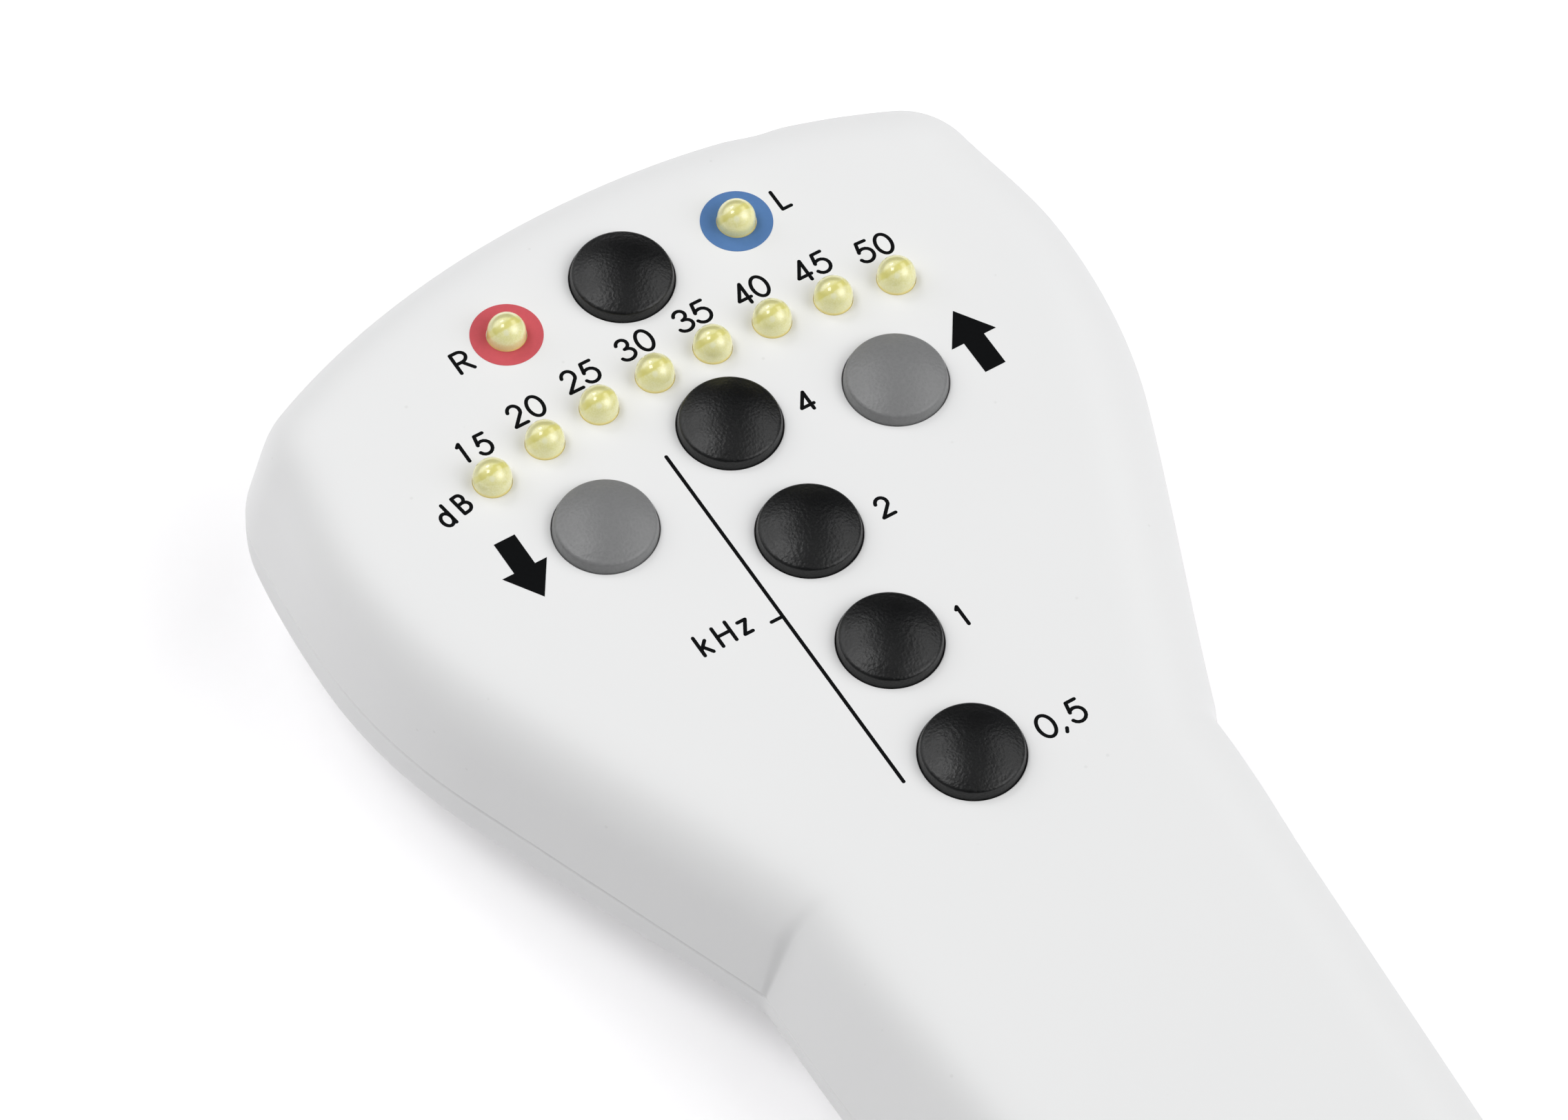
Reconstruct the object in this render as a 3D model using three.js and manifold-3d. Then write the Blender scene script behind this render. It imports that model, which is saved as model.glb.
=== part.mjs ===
import * as THREE from 'three';
import { mergeVertices } from 'three/addons/utils/BufferGeometryUtils.js';
import Module from 'manifold-3d';

// Hand-held screening audiometer, in millimetres.
// Pieces are placed from the centre of the 4 kHz button on the panel's surface:
// X to the patient's left-ear lamp, Y to the head end, Z out of the panel.
// Depths are measured down from the panel's surface.

// Housing outline on the parting line
const headEndY = 27.3;
const headEndRadius = 65;
const headCornerRadius = 8;
const headHalfWidth = 32.8;
const widestY = 4;
const shoulderRadius = 80;
const flankRadius = 44;
const waistHalfWidth = 20;
const waistY = -36.9;
const waistRadius = 2;
const handleEndY = -132.7;
const handleEndHalfWidth = 14.8;
const handleEndRadius = 45;
const handleCornerRadius = 10;

// Housing section
const housingThickness = 22;
const partingDepth = 11;
const wall = 2;
const lipHeight = 1.1;
const lipOuterInset = 1.3;
const lipInnerInset = 2.2;
const rebateInset = 1.05;
const rebateHeight = 1.4;

// Edge shape along the outline: how far the flat panel stops short of the parting line,
// the fillet beside it, how far the flat back stops short, and the upright band under the parting line
const headEndEdge = { panelInset: 7, fillet: 5.4, backInset: 8.2, band: 1.8 };
const headCornerEdge = { panelInset: 6.5, fillet: 5.2, backInset: 7.4, band: 1.8 };
const sideEdge = { panelInset: 4.7, fillet: 3.3, backInset: 9, band: 1.8 };
const flankEdge = { panelInset: 4.6, fillet: 3.8, backInset: 9.2, band: 0.7 };
const waistEdge = { panelInset: 5.2, fillet: 2.8, backInset: 12, band: 0.2 };
const gripEdge = { panelInset: 5.8, fillet: 2.5, backInset: 10.5, band: 0.2 };
const handleEndEdge = { panelInset: 6.4, fillet: 3.6, backInset: 8.5, band: 0.4 };
const gripBlendLength = 12;

// Clearances
const seatGap = 0.05;
const fitGap = 0.3;
const pilotGap = 0.12;
const overrun = 3;

// Buttons and their switches
const buttonRadius = 4;
const buttonTopRadius = 3.82;
const buttonEdgeHeight = 0.95;
const buttonCrownHeight = 0.5;
const buttonEdgeRound = 0.28;
const buttonHoleGap = 0.2;
const buttonFlangeRadius = 4.6;
const buttonFlangeThickness = 0.8;
const buttonPostRadius = 1.5;
const buttonSkirtThickness = 0.9;
const buttonRoofDepth = 0.6;
const buttonPitch = 10.95;
const frequencyNames = ['4', '2', '1', 'half'];
const levelButtonX = 12.54;
const levelButtonY = -3.02;
const earButtonY = 15.2;
const switchWidth = 6;
const switchBodyHeight = 3.4;
const switchHeight = 4.3;
const switchPlungerRadius = 1.7;
const switchWellDepth = 1.5;
const switchPlungerFoot = 0.6;

// Lamps
const lampRadius = 1.5;
const lampDomeBase = 0.5;
const lampFlangeRadius = 1.9;
const lampFlangeThickness = 1;
const lampHoleGap = 0.1;
const lampLeadWidth = 0.5;
const lampLeadSpacing = 2.54;
const lampLeadTail = 0.8;
const lampPitch = 5;
const lampArcTopY = 6.5;
const lampArcRadius = 86;
const levels = ['15', '20', '25', '30', '35', '40', '45', '50'];
const earLampX = 10;

// Main board
const boardThickness = 1.6;
const boardWallGap = 3.4;
const boardEndY = -40.5;
const leadSlotWidth = 0.9;

// Headphone socket in its recess in the head's end wall
const socketX = 16;
const socketBodyWidth = 6;
const socketBodyLength = 12;
const socketBodyHeight = 4.6;
const socketBushingRadius = 3;
const socketBoreRadius = 1.8;
const socketBoreDepth = 13;
const socketBushingProud = 0.5;
const recessRadius = 3.9;
const recessFloorY = 21.8;
const recessBossRadius = 4.6;
const recessWall = 2;

// Housing screws and bosses
const headScrewX = 23.5;
const headScrewY = 12.5;
const flankScrewX = 13.5;
const flankScrewY = -31;
const handleScrewBehindTray = 8;
const screwShankRadius = 1.25;
const screwHeadRadius = 2.6;
const screwHeadHeight = 1.8;
const screwSocketRadius = 1;
const screwSocketDepth = 1;
const screwReach = 8;
const counterboreDepth = 4.5;
const upperBossRadius = 3;
const lowerBossRadius = 4.2;
const bossMeetDepth = 12;

// Board screws and bosses
const boardScrewPlaces = [[-19.5, 17], [-20, -14], [20, -14]];
const boardScrewShankRadius = 0.95;
const boardScrewHeadRadius = 1.9;
const boardScrewHeadHeight = 1.2;
const boardScrewReach = 3.6;
const boardBossRadius = 2.4;

// Battery tray, cells and contacts
const cellRadius = 5.25;
const cellLength = 44.5;
const cellNubRadius = 1.9;
const cellNubHeight = 0.8;
const cellSpacing = 11;
const cellDepth = 14.1;
const cellEndRound = 0.5;
const trayFrontY = -44;
const trayWall = 1;
const trayFloor = 1.3;
const trayChamfer = 1.4;
const contactThickness = 0.4;
const contactWidth = 8;
const contactHeight = 8;
const contactTabWidth = 2.4;
const contactTabHeight = 2.6;
const contactDimpleRadius = 1.6;
const contactDimpleHeight = 0.8;
const contactSpringLength = 3.4;
const contactSpringRadius = 2.9;
const contactSpringTipRadius = 1.7;
const contactSpringWire = 0.35;
const contactSpringTurns = 2;
const bridgeHeight = 1.5;
const bridgeLength = 16;

// Battery door
const doorHalfWidth = 11.5;
const doorSkirtThickness = 1;
const doorTongueWidth = 0.8;
const doorTongueThickness = 0.8;
const doorTongueDepth = 16.6;
const doorSkirtEndGap = 14;
const railWidth = 1.6;
const grooveCount = 5;
const groovePitch = 2.2;
const grooveWidth = 1.1;
const grooveDepth = 0.5;
const grooveLength = 12;
const grooveStart = 8;

// Battery wires
const wireRadius = 0.6;
const wireRise = 1.2;
const wireOverBoard = 3;

// Board components: place, width, length and height
const microcontrollerSize = [10, 10, 1.4];
const microcontrollerY = -11;
const toneGeneratorSize = [7.5, 10.3, 2.2];
const toneGeneratorX = -13;
const toneGeneratorY = -5;
const amplifierSize = [5, 6.2, 1.6];
const amplifierX = 14;
const amplifierY = -4;
const capacitorRadius = 3.15;
const capacitorHeight = 7;
const capacitorSpacing = 10;
const capacitorY = 11.2;
const capacitorNeckDepth = 0.3;
const capacitorNeckHeight = 1.2;

// Facets
const roundSegments = 18;
const lampSegments = 10;
const smallSegments = 8;
const filletSteps = 4;
const backSteps = 4;
const springSteps = 8;
const springSides = 5;
const wireSteps = 8;
const wireSides = 6;
const outlineSteps = {
  headEnd: 5, headCorner: 5, shoulder: 2, flank: 3, flankLine: 1, waist: 2,
  gripBlend: 2, grip: 1, handleCorner: 4, handleEnd: 2,
};

// Worked out from the sizes above
const wellTopDepth = wall + fitGap;
const buttonFootDepth = wellTopDepth + buttonFlangeThickness + seatGap * 2;
const switchTopDepth = buttonFootDepth + seatGap;
const boardTopDepth = switchTopDepth + switchHeight;
const boardBottomDepth = boardTopDepth + boardThickness;
const socketAxisDepth = boardTopDepth - socketBodyHeight / 2 - seatGap;
const socketBodyFront = recessFloorY - recessWall - fitGap;
const trayFloorTopDepth = cellDepth - cellRadius - fitGap - trayFloor;
const trayHalfWidth = doorHalfWidth + doorTongueWidth + fitGap;
const trayEndHalfWidth = doorHalfWidth - doorSkirtThickness - fitGap;
const trayLength = (seatGap + contactThickness) * 2 + contactDimpleHeight + contactSpringLength
  + fitGap * 2 + cellLength + cellNubHeight;
const trayBackY = trayFrontY - trayLength;
const handleScrewY = trayBackY - trayWall - handleScrewBehindTray;
const bridgeTopDepth = doorTongueDepth - fitGap - bridgeHeight;
const lengthCentreY = (headEndY + handleEndY) / 2;

const wasm = await Module();
wasm.setup();

// Closed three.js geometry to a solid for joining and cutting
function toSolid(geometry) {
  const source = geometry.index ? geometry.toNonIndexed() : geometry.clone();
  source.deleteAttribute('normal');
  source.deleteAttribute('uv');
  const merged = mergeVertices(source, 1e-5);
  const vertProperties = new Float32Array(merged.attributes.position.array);
  const corners = Array.from(merged.index.array);
  const kept = [];
  for (let i = 0; i < corners.length; i += 3) {
    const [a, b, c] = corners.slice(i, i + 3);
    if (a !== b && b !== c && c !== a) kept.push(a, b, c);
  }
  return new wasm.Manifold(new wasm.Mesh({ numProp: 3, vertProperties, triVerts: new Uint32Array(kept) }));
}

function toGeometry(solid) {
  const mesh = solid.getMesh();
  const geometry = new THREE.BufferGeometry();
  const positions = [];
  for (let i = 0; i < mesh.vertProperties.length; i += mesh.numProp) {
    positions.push(...mesh.vertProperties.slice(i, i + 3));
  }
  geometry.setAttribute('position', new THREE.Float32BufferAttribute(positions, 3));
  geometry.setIndex(Array.from(mesh.triVerts));
  geometry.computeVertexNormals();
  return geometry;
}

// Box between two corners
function block(x0, x1, y0, y1, z0, z1) {
  const geometry = new THREE.BoxGeometry(x1 - x0, y1 - y0, z1 - z0);
  geometry.translate((x0 + x1) / 2, (y0 + y1) / 2, (z0 + z1) / 2);
  return toSolid(geometry);
}

// Upright cylinder between two depths below the panel
function post(radius, x, y, topDepth, bottomDepth, segments = roundSegments) {
  const geometry = new THREE.CylinderGeometry(radius, radius, bottomDepth - topDepth, segments);
  geometry.rotateX(Math.PI / 2);
  geometry.translate(x, y, -(topDepth + bottomDepth) / 2);
  return toSolid(geometry);
}

// Cylinder that lies along Y
function rod(radius, x, depth, y0, y1, segments = roundSegments) {
  const geometry = new THREE.CylinderGeometry(radius, radius, y1 - y0, segments);
  geometry.translate(x, (y0 + y1) / 2, -depth);
  return toSolid(geometry);
}

// Outline on the parting line: right half as a chain of tangent arcs and lines,
// from the middle of the head end round to the middle of the handle end
function cornerArc(vertex, inward, outward, radius) {
  const turn = Math.sign(inward.x * outward.y - inward.y * outward.x);
  const reach = radius * Math.tan(Math.acos(inward.dot(outward)) / 2);
  const start = vertex.clone().addScaledVector(inward, -reach);
  const end = vertex.clone().addScaledVector(outward, reach);
  const centre = new THREE.Vector2(-inward.y, inward.x).multiplyScalar(turn * radius).add(start);
  return arcBetween(centre, radius, start, end, turn < 0);
}

function arcBetween(centre, radius, start, end, clockwise) {
  const from = Math.atan2(start.y - centre.y, start.x - centre.x);
  const to = Math.atan2(end.y - centre.y, end.x - centre.x);
  return new THREE.EllipseCurve(centre.x, centre.y, radius, radius, from, to, clockwise);
}

// Where two circles meet, on the right-hand side
function circlesMeet(a, radiusA, b, radiusB) {
  const gap = b.clone().sub(a);
  const distance = gap.length();
  const along = (radiusA ** 2 - radiusB ** 2 + distance ** 2) / (2 * distance);
  const across = Math.sqrt(radiusA ** 2 - along ** 2);
  const unit = gap.divideScalar(distance);
  const foot = a.clone().addScaledVector(unit, along);
  const side = new THREE.Vector2(-unit.y, unit.x).multiplyScalar(across);
  const first = foot.clone().add(side);
  const second = foot.clone().sub(side);
  return first.x > second.x ? first : second;
}

function pointOnWay(centre, through, radius) {
  return through.clone().sub(centre).setLength(radius).add(centre);
}

function halfOutline() {
  const headCentre = new THREE.Vector2(0, headEndY - headEndRadius);
  const shoulderCentre = new THREE.Vector2(headHalfWidth - shoulderRadius, widestY);
  const cornerCentre = circlesMeet(headCentre, headEndRadius - headCornerRadius,
    shoulderCentre, shoulderRadius - headCornerRadius);
  const cornerStart = pointOnWay(headCentre, cornerCentre, headEndRadius);
  const cornerEnd = pointOnWay(shoulderCentre, cornerCentre, shoulderRadius);
  const widest = new THREE.Vector2(headHalfWidth, widestY);

  // The flank arc runs into a line that aims at the waist
  const flankCentre = new THREE.Vector2(headHalfWidth - flankRadius, widestY);
  const waist = new THREE.Vector2(waistHalfWidth, waistY);
  const toWaist = waist.clone().sub(flankCentre);
  const flankAngle = Math.atan2(toWaist.y, toWaist.x) + Math.acos(flankRadius / toWaist.length());
  const flankEnd = new THREE.Vector2(Math.cos(flankAngle), Math.sin(flankAngle))
    .multiplyScalar(flankRadius).add(flankCentre);
  const flankWay = waist.clone().sub(flankEnd).normalize();

  // The grip line tapers to the handle's end
  const endCentre = new THREE.Vector2(0, handleEndY + handleEndRadius);
  const gripFoot = new THREE.Vector2(handleEndHalfWidth, handleEndY);
  const gripWay = gripFoot.clone().sub(waist).normalize();
  const waistArc = cornerArc(waist, flankWay, gripWay, waistRadius);
  const waistStart = waistArc.getPoint(0);
  const waistEnd = waistArc.getPoint(1);

  // The handle's corner touches the grip line and the end arc from inside
  const inside = new THREE.Vector2(gripWay.y, -gripWay.x);
  const offsetStart = waist.clone().addScaledVector(inside, handleCornerRadius);
  const toEnd = offsetStart.clone().sub(endCentre);
  const halfB = toEnd.dot(gripWay);
  const offCentre = toEnd.lengthSq() - (handleEndRadius - handleCornerRadius) ** 2;
  const along = -halfB + Math.sqrt(halfB ** 2 - offCentre);
  const gripCornerCentre = offsetStart.clone().addScaledVector(gripWay, along);
  const gripEnd = gripCornerCentre.clone().addScaledVector(inside, -handleCornerRadius);
  const gripCornerEnd = pointOnWay(endCentre, gripCornerCentre, handleEndRadius);
  const gripBlend = waistEnd.clone().addScaledVector(gripWay, gripBlendLength);

  const top = new THREE.Vector2(0, headEndY);
  const bottom = new THREE.Vector2(0, handleEndY);
  return [
    [arcBetween(headCentre, headEndRadius, top, cornerStart, true), 'headEnd', headEndEdge, headCornerEdge],
    [arcBetween(cornerCentre, headCornerRadius, cornerStart, cornerEnd, true), 'headCorner',
      headCornerEdge, headCornerEdge],
    [arcBetween(shoulderCentre, shoulderRadius, cornerEnd, widest, true), 'shoulder', headCornerEdge, sideEdge],
    [arcBetween(flankCentre, flankRadius, widest, flankEnd, true), 'flank', sideEdge, flankEdge],
    [new THREE.LineCurve(flankEnd, waistStart), 'flankLine', flankEdge, waistEdge],
    [waistArc, 'waist', waistEdge, waistEdge],
    [new THREE.LineCurve(waistEnd, gripBlend), 'gripBlend', waistEdge, gripEdge],
    [new THREE.LineCurve(gripBlend, gripEnd), 'grip', gripEdge, gripEdge],
    [arcBetween(gripCornerCentre, handleCornerRadius, gripEnd, gripCornerEnd, true), 'handleCorner',
      gripEdge, handleEndEdge],
    [arcBetween(endCentre, handleEndRadius, gripCornerEnd, bottom, true), 'handleEnd',
      handleEndEdge, handleEndEdge],
  ];
}

// Stations round the whole outline: place, way inward and edge shape
function outlineStations() {
  const half = [];
  for (const [curve, name, from, to] of halfOutline()) {
    const steps = outlineSteps[name];
    for (let i = 0; i <= steps; i += 1) {
      if (i === 0 && half.length > 0) continue;
      const share = i / steps;
      const tangent = curve.getTangent(share);
      const blend = THREE.MathUtils.smoothstep(share, 0, 1);
      const edge = {};
      for (const key of Object.keys(from)) edge[key] = THREE.MathUtils.lerp(from[key], to[key], blend);
      half.push({ place: curve.getPoint(share), inward: new THREE.Vector2(tangent.y, -tangent.x), edge });
    }
  }
  const first = half[0];
  const last = half[half.length - 1];
  first.place.x = 0;
  last.place.x = 0;
  first.inward.set(0, -1);
  last.inward.set(0, 1);
  const mirrored = half.slice(1, -1).reverse().map(({ place, inward, edge }) => ({
    place: new THREE.Vector2(-place.x, place.y),
    inward: new THREE.Vector2(-inward.x, inward.y),
    edge,
  }));
  return [...half, ...mirrored];
}

const stations = outlineStations();

// Slope of the side wall that runs from the parting line into the panel fillet without a kink
function wallSlope({ panelInset, fillet }) {
  const rise = partingDepth - fillet;
  return Math.acos(fillet / Math.hypot(panelInset, rise)) - Math.atan2(rise, panelInset);
}

// Section of the front half from below the parting line to the panel, set in by an offset:
// pairs of inset from the parting line and depth below the panel
function frontSection(edge, offset, overshoot) {
  const slope = wallSlope(edge);
  const section = [[
    offset * Math.cos(slope) - overshoot * Math.sin(slope),
    partingDepth + offset * Math.sin(slope) + overshoot * Math.cos(slope),
  ]];
  if (overshoot === 0 && offset === 0) section[0] = [0, partingDepth];
  for (let i = 0; i <= filletSteps; i += 1) {
    const angle = THREE.MathUtils.lerp(slope, Math.PI / 2, i / filletSteps);
    const radius = edge.fillet - offset;
    section.push([edge.panelInset - radius * Math.cos(angle), edge.fillet - radius * Math.sin(angle)]);
  }
  return section;
}

// Section of the back half from the flat back to above the parting line: an upright band,
// then a quarter ellipse
function backSection(edge, offset, overshoot) {
  const width = edge.backInset;
  const height = housingThickness - partingDepth - edge.band;
  const section = [];
  for (let i = 0; i <= backSteps; i += 1) {
    const angle = Math.PI / 2 * (1 - i / backSteps);
    const normal = new THREE.Vector2(Math.cos(angle) / width, Math.sin(angle) / height).normalize();
    section.push([
      width * (1 - Math.cos(angle)) + offset * normal.x,
      partingDepth + edge.band + height * Math.sin(angle) - offset * normal.y,
    ]);
  }
  section.push([offset, partingDepth + (overshoot > 0 ? -overshoot : seatGap)]);
  return section;
}

// Closed solid through one section per station: walls between them and a flat cap at each end
function loft(sectionAt) {
  const rings = stations.map((station) => sectionAt(station).map(([inset, depth]) => {
    const place = station.place.clone().addScaledVector(station.inward, inset);
    return [place.x, place.y, -depth];
  }));
  const count = rings.length;
  const levels = rings[0].length;
  const positions = rings.flat(2);
  const index = [];
  for (let i = 0; i < count; i += 1) {
    const next = (i + 1) % count;
    for (let k = 0; k < levels - 1; k += 1) {
      const a = i * levels + k;
      const b = next * levels + k;
      index.push(a, a + 1, b, b, a + 1, b + 1);
    }
  }
  for (const [level, flipped] of [[0, true], [levels - 1, false]]) {
    const contour = rings.map((ring) => new THREE.Vector2(ring[level][0], ring[level][1]));
    for (const [a, b, c] of THREE.ShapeUtils.triangulateShape(contour, [])) {
      const corner = [a, b, c].map((i) => i * levels + level);
      index.push(...(flipped ? corner.reverse() : corner));
    }
  }
  const geometry = new THREE.BufferGeometry();
  geometry.setAttribute('position', new THREE.Float32BufferAttribute(positions, 3));
  geometry.setIndex(index);
  return toSolid(geometry);
}

// Band that follows the side wall, between two depths, set in from the wall's outside
function wallBand(offset, topDepth, bottomDepth) {
  return loft(({ edge }) => {
    const slope = wallSlope(edge);
    const inset = (depth) => (partingDepth - depth) * Math.tan(slope) + offset / Math.cos(slope);
    return [[inset(bottomDepth), bottomDepth], [inset(topDepth), topDepth]];
  });
}

// Places of the buttons and lamps on the panel
const buttonPlaces = [
  ...frequencyNames.map((name, i) => ({ name: `frequency_${name}`, x: 0, y: -i * buttonPitch, colour: 'black' })),
  { name: 'ear_select', x: 0, y: earButtonY, colour: 'black' },
  { name: 'level_up', x: levelButtonX, y: levelButtonY, colour: 'grey' },
  { name: 'level_down', x: -levelButtonX, y: levelButtonY, colour: 'grey' },
];
const lampPlaces = [
  ...levels.map((level, i) => {
    const x = (i - (levels.length - 1) / 2) * lampPitch;
    return { name: `level_lamp_${level}`, x, y: lampArcTopY - x ** 2 / (2 * lampArcRadius) };
  }),
  { name: 'right_ear_lamp', x: -earLampX, y: earButtonY },
  { name: 'left_ear_lamp', x: earLampX, y: earButtonY },
];
const headScrewPlaces = [
  [headScrewX, headScrewY], [-headScrewX, headScrewY], [flankScrewX, flankScrewY], [-flankScrewX, flankScrewY],
];

// Upper shell: the moulded front half with its button and lamp holes, screw bosses,
// socket recess and the rebate that takes the lower shell's lip
function upperShell() {
  const outside = loft(({ edge }) => frontSection(edge, 0, 0));
  const inside = loft(({ edge }) => frontSection(edge, wall, overrun));
  let shell = outside.subtract(inside);
  shell = shell.subtract(wallBand(rebateInset, partingDepth - rebateHeight, partingDepth + overrun));

  let bosses = rod(recessBossRadius, socketX, socketAxisDepth, recessFloorY - recessWall, headEndY);
  for (const [x, y] of headScrewPlaces) {
    bosses = bosses.add(post(upperBossRadius, x, y, wall / 2, bossMeetDepth, smallSegments));
  }
  bosses = bosses.add(post(upperBossRadius, 0, handleScrewY, wall / 2, bridgeTopDepth - fitGap, smallSegments));
  for (const [x, y] of boardScrewPlaces) {
    bosses = bosses.add(post(boardBossRadius, x, y, wall / 2, boardTopDepth - seatGap, smallSegments));
  }
  shell = shell.add(bosses.intersect(outside));
  shell = shell.add(lowerEnds(bosses));

  for (const { x, y } of buttonPlaces) {
    shell = shell.subtract(post(buttonRadius + buttonHoleGap, x, y, -overrun, wall + overrun));
  }
  for (const { x, y } of lampPlaces) {
    shell = shell.subtract(post(lampRadius + lampHoleGap, x, y, -overrun, wall + overrun, lampSegments));
  }
  for (const [x, y] of headScrewPlaces) {
    shell = shell.subtract(post(screwShankRadius + pilotGap, x, y, wall + fitGap, bossMeetDepth + overrun,
      smallSegments));
  }
  shell = shell.subtract(post(screwShankRadius + pilotGap, 0, handleScrewY, wall + fitGap,
    bridgeTopDepth + overrun, smallSegments));
  for (const [x, y] of boardScrewPlaces) {
    shell = shell.subtract(post(boardScrewShankRadius + pilotGap, x, y, wall + fitGap, boardTopDepth + overrun,
      smallSegments));
  }
  shell = shell.subtract(rod(recessRadius, socketX, socketAxisDepth, recessFloorY, headEndY + overrun));
  shell = shell.subtract(rod(socketBushingRadius + buttonHoleGap, socketX, socketAxisDepth,
    recessFloorY - recessWall - overrun, headEndY));
  return shell;
}

// The stretch of the screw bosses that reaches below the parting line
function lowerEnds(bosses) {
  const below = block(-headHalfWidth, headHalfWidth, handleEndY, recessFloorY - recessWall - fitGap,
    -housingThickness, -partingDepth + seatGap);
  return bosses.intersect(below);
}

// Lower shell: the moulded back half with its lip, screw wells, battery tray, door rails
// and the bridge that takes the handle screw
function backOutside() {
  return loft(({ edge }) => backSection(edge, 0, 0));
}

function backWalls() {
  return backOutside().subtract(loft(({ edge }) => backSection(edge, wall, overrun)));
}

function lip() {
  const top = partingDepth - lipHeight;
  return wallBand(lipOuterInset, top, partingDepth + wall / 2)
    .subtract(wallBand(lipInnerInset, top - overrun, partingDepth + overrun));
}

function screwWells() {
  const top = bossMeetDepth + fitGap;
  let wells = null;
  for (const [x, y] of headScrewPlaces) {
    const well = post(lowerBossRadius, x, y, top, housingThickness, smallSegments);
    wells = wells ? wells.add(well) : well;
  }
  return wells.intersect(backOutside());
}

function trayProfile(halfWidth, topDepth, bottomDepth, chamfer, y0, y1) {
  const shape = new THREE.Shape([
    new THREE.Vector2(-halfWidth, -bottomDepth),
    new THREE.Vector2(halfWidth, -bottomDepth),
    new THREE.Vector2(halfWidth, -topDepth - chamfer * 2),
    new THREE.Vector2(halfWidth - chamfer, -topDepth),
    new THREE.Vector2(chamfer - halfWidth, -topDepth),
    new THREE.Vector2(-halfWidth, -topDepth - chamfer * 2),
  ]);
  const geometry = new THREE.ExtrudeGeometry(shape, { depth: y1 - y0, bevelEnabled: false });
  geometry.rotateX(Math.PI / 2);
  geometry.translate(0, y1, 0);
  return toSolid(geometry);
}

function batteryTray() {
  const bottom = doorTongueDepth + doorTongueThickness + fitGap * 2;
  const outer = trayProfile(trayHalfWidth + trayWall, trayFloorTopDepth, bottom, trayChamfer,
    trayBackY - trayWall, trayFrontY + trayWall);
  const inner = trayProfile(trayHalfWidth, trayFloorTopDepth + trayFloor, bottom + overrun, trayChamfer,
    trayBackY, trayFrontY);
  let tray = outer.subtract(inner);

  // The bridge carries the handle screw; the shelves tie the tray's sides to the shell
  const shelf = block(-waistHalfWidth, waistHalfWidth, trayBackY - bridgeLength, trayFrontY + trayWall,
    -bridgeTopDepth - bridgeHeight, -bridgeTopDepth);
  tray = tray.add(shelf.intersect(backOutside()).subtract(inner));

  // The end walls leave the door's skirts and tongues a way past
  const skirtWays = block(trayEndHalfWidth, trayHalfWidth, trayBackY - trayWall - overrun, trayBackY,
    -bottom - overrun, -doorTongueDepth + fitGap);
  tray = tray.subtract(skirtWays).subtract(skirtWays.mirror([1, 0, 0]));
  const endDepth = cellDepth + contactHeight / 2 + fitGap;
  for (const y of [trayFrontY, trayBackY - trayWall]) {
    tray = tray.add(block(-trayEndHalfWidth, trayEndHalfWidth, y, y + trayWall,
      -endDepth, -trayFloorTopDepth - trayFloor));
  }
  return tray;
}

function doorRails() {
  const railTop = doorTongueDepth + doorTongueThickness + fitGap;
  const inner = doorHalfWidth + fitGap;
  const outer = trayHalfWidth + trayWall;
  const right = block(inner, outer + railWidth, trayBackY - bridgeLength, trayFrontY + trayWall,
    -housingThickness, -railTop);
  const left = block(-outer - railWidth, -inner, trayBackY - bridgeLength, trayFrontY + trayWall,
    -housingThickness, -railTop);
  return right.add(left).intersect(backOutside());
}

function lowerShell() {
  let shell = backWalls().add(lip()).add(screwWells()).add(doorRails());

  // The door's opening runs out through the handle's end, and so do the ways for its tongues
  const opening = doorHalfWidth + fitGap;
  shell = shell.subtract(block(-opening, opening, handleEndY - overrun, trayFrontY,
    -housingThickness - overrun, -partingDepth + lipHeight + overrun));
  const tongueWay = block(trayEndHalfWidth, trayHalfWidth, handleEndY - overrun, trayFrontY,
    -doorTongueDepth - doorTongueThickness - fitGap, -doorTongueDepth + fitGap);
  shell = shell.subtract(tongueWay).subtract(tongueWay.mirror([1, 0, 0]));
  shell = shell.add(batteryTray());

  for (const [x, y] of headScrewPlaces) {
    shell = shell.subtract(post(screwHeadRadius + fitGap, x, y, housingThickness - counterboreDepth,
      housingThickness + overrun));
    shell = shell.subtract(post(screwShankRadius + fitGap, x, y, bossMeetDepth - overrun,
      housingThickness, smallSegments));
  }
  shell = shell.subtract(post(screwShankRadius + fitGap, 0, handleScrewY, partingDepth, housingThickness,
    smallSegments));
  for (const side of [-1, 1]) {
    const x = side * cellSpacing / 2;
    const half = contactTabWidth / 2 + fitGap;
    shell = shell.subtract(block(x - half, x + half, trayFrontY - contactThickness - fitGap * 2, trayFrontY,
      -trayFloorTopDepth - trayFloor - overrun / 2, -trayFloorTopDepth + overrun));
  }
  return shell;
}

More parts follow.
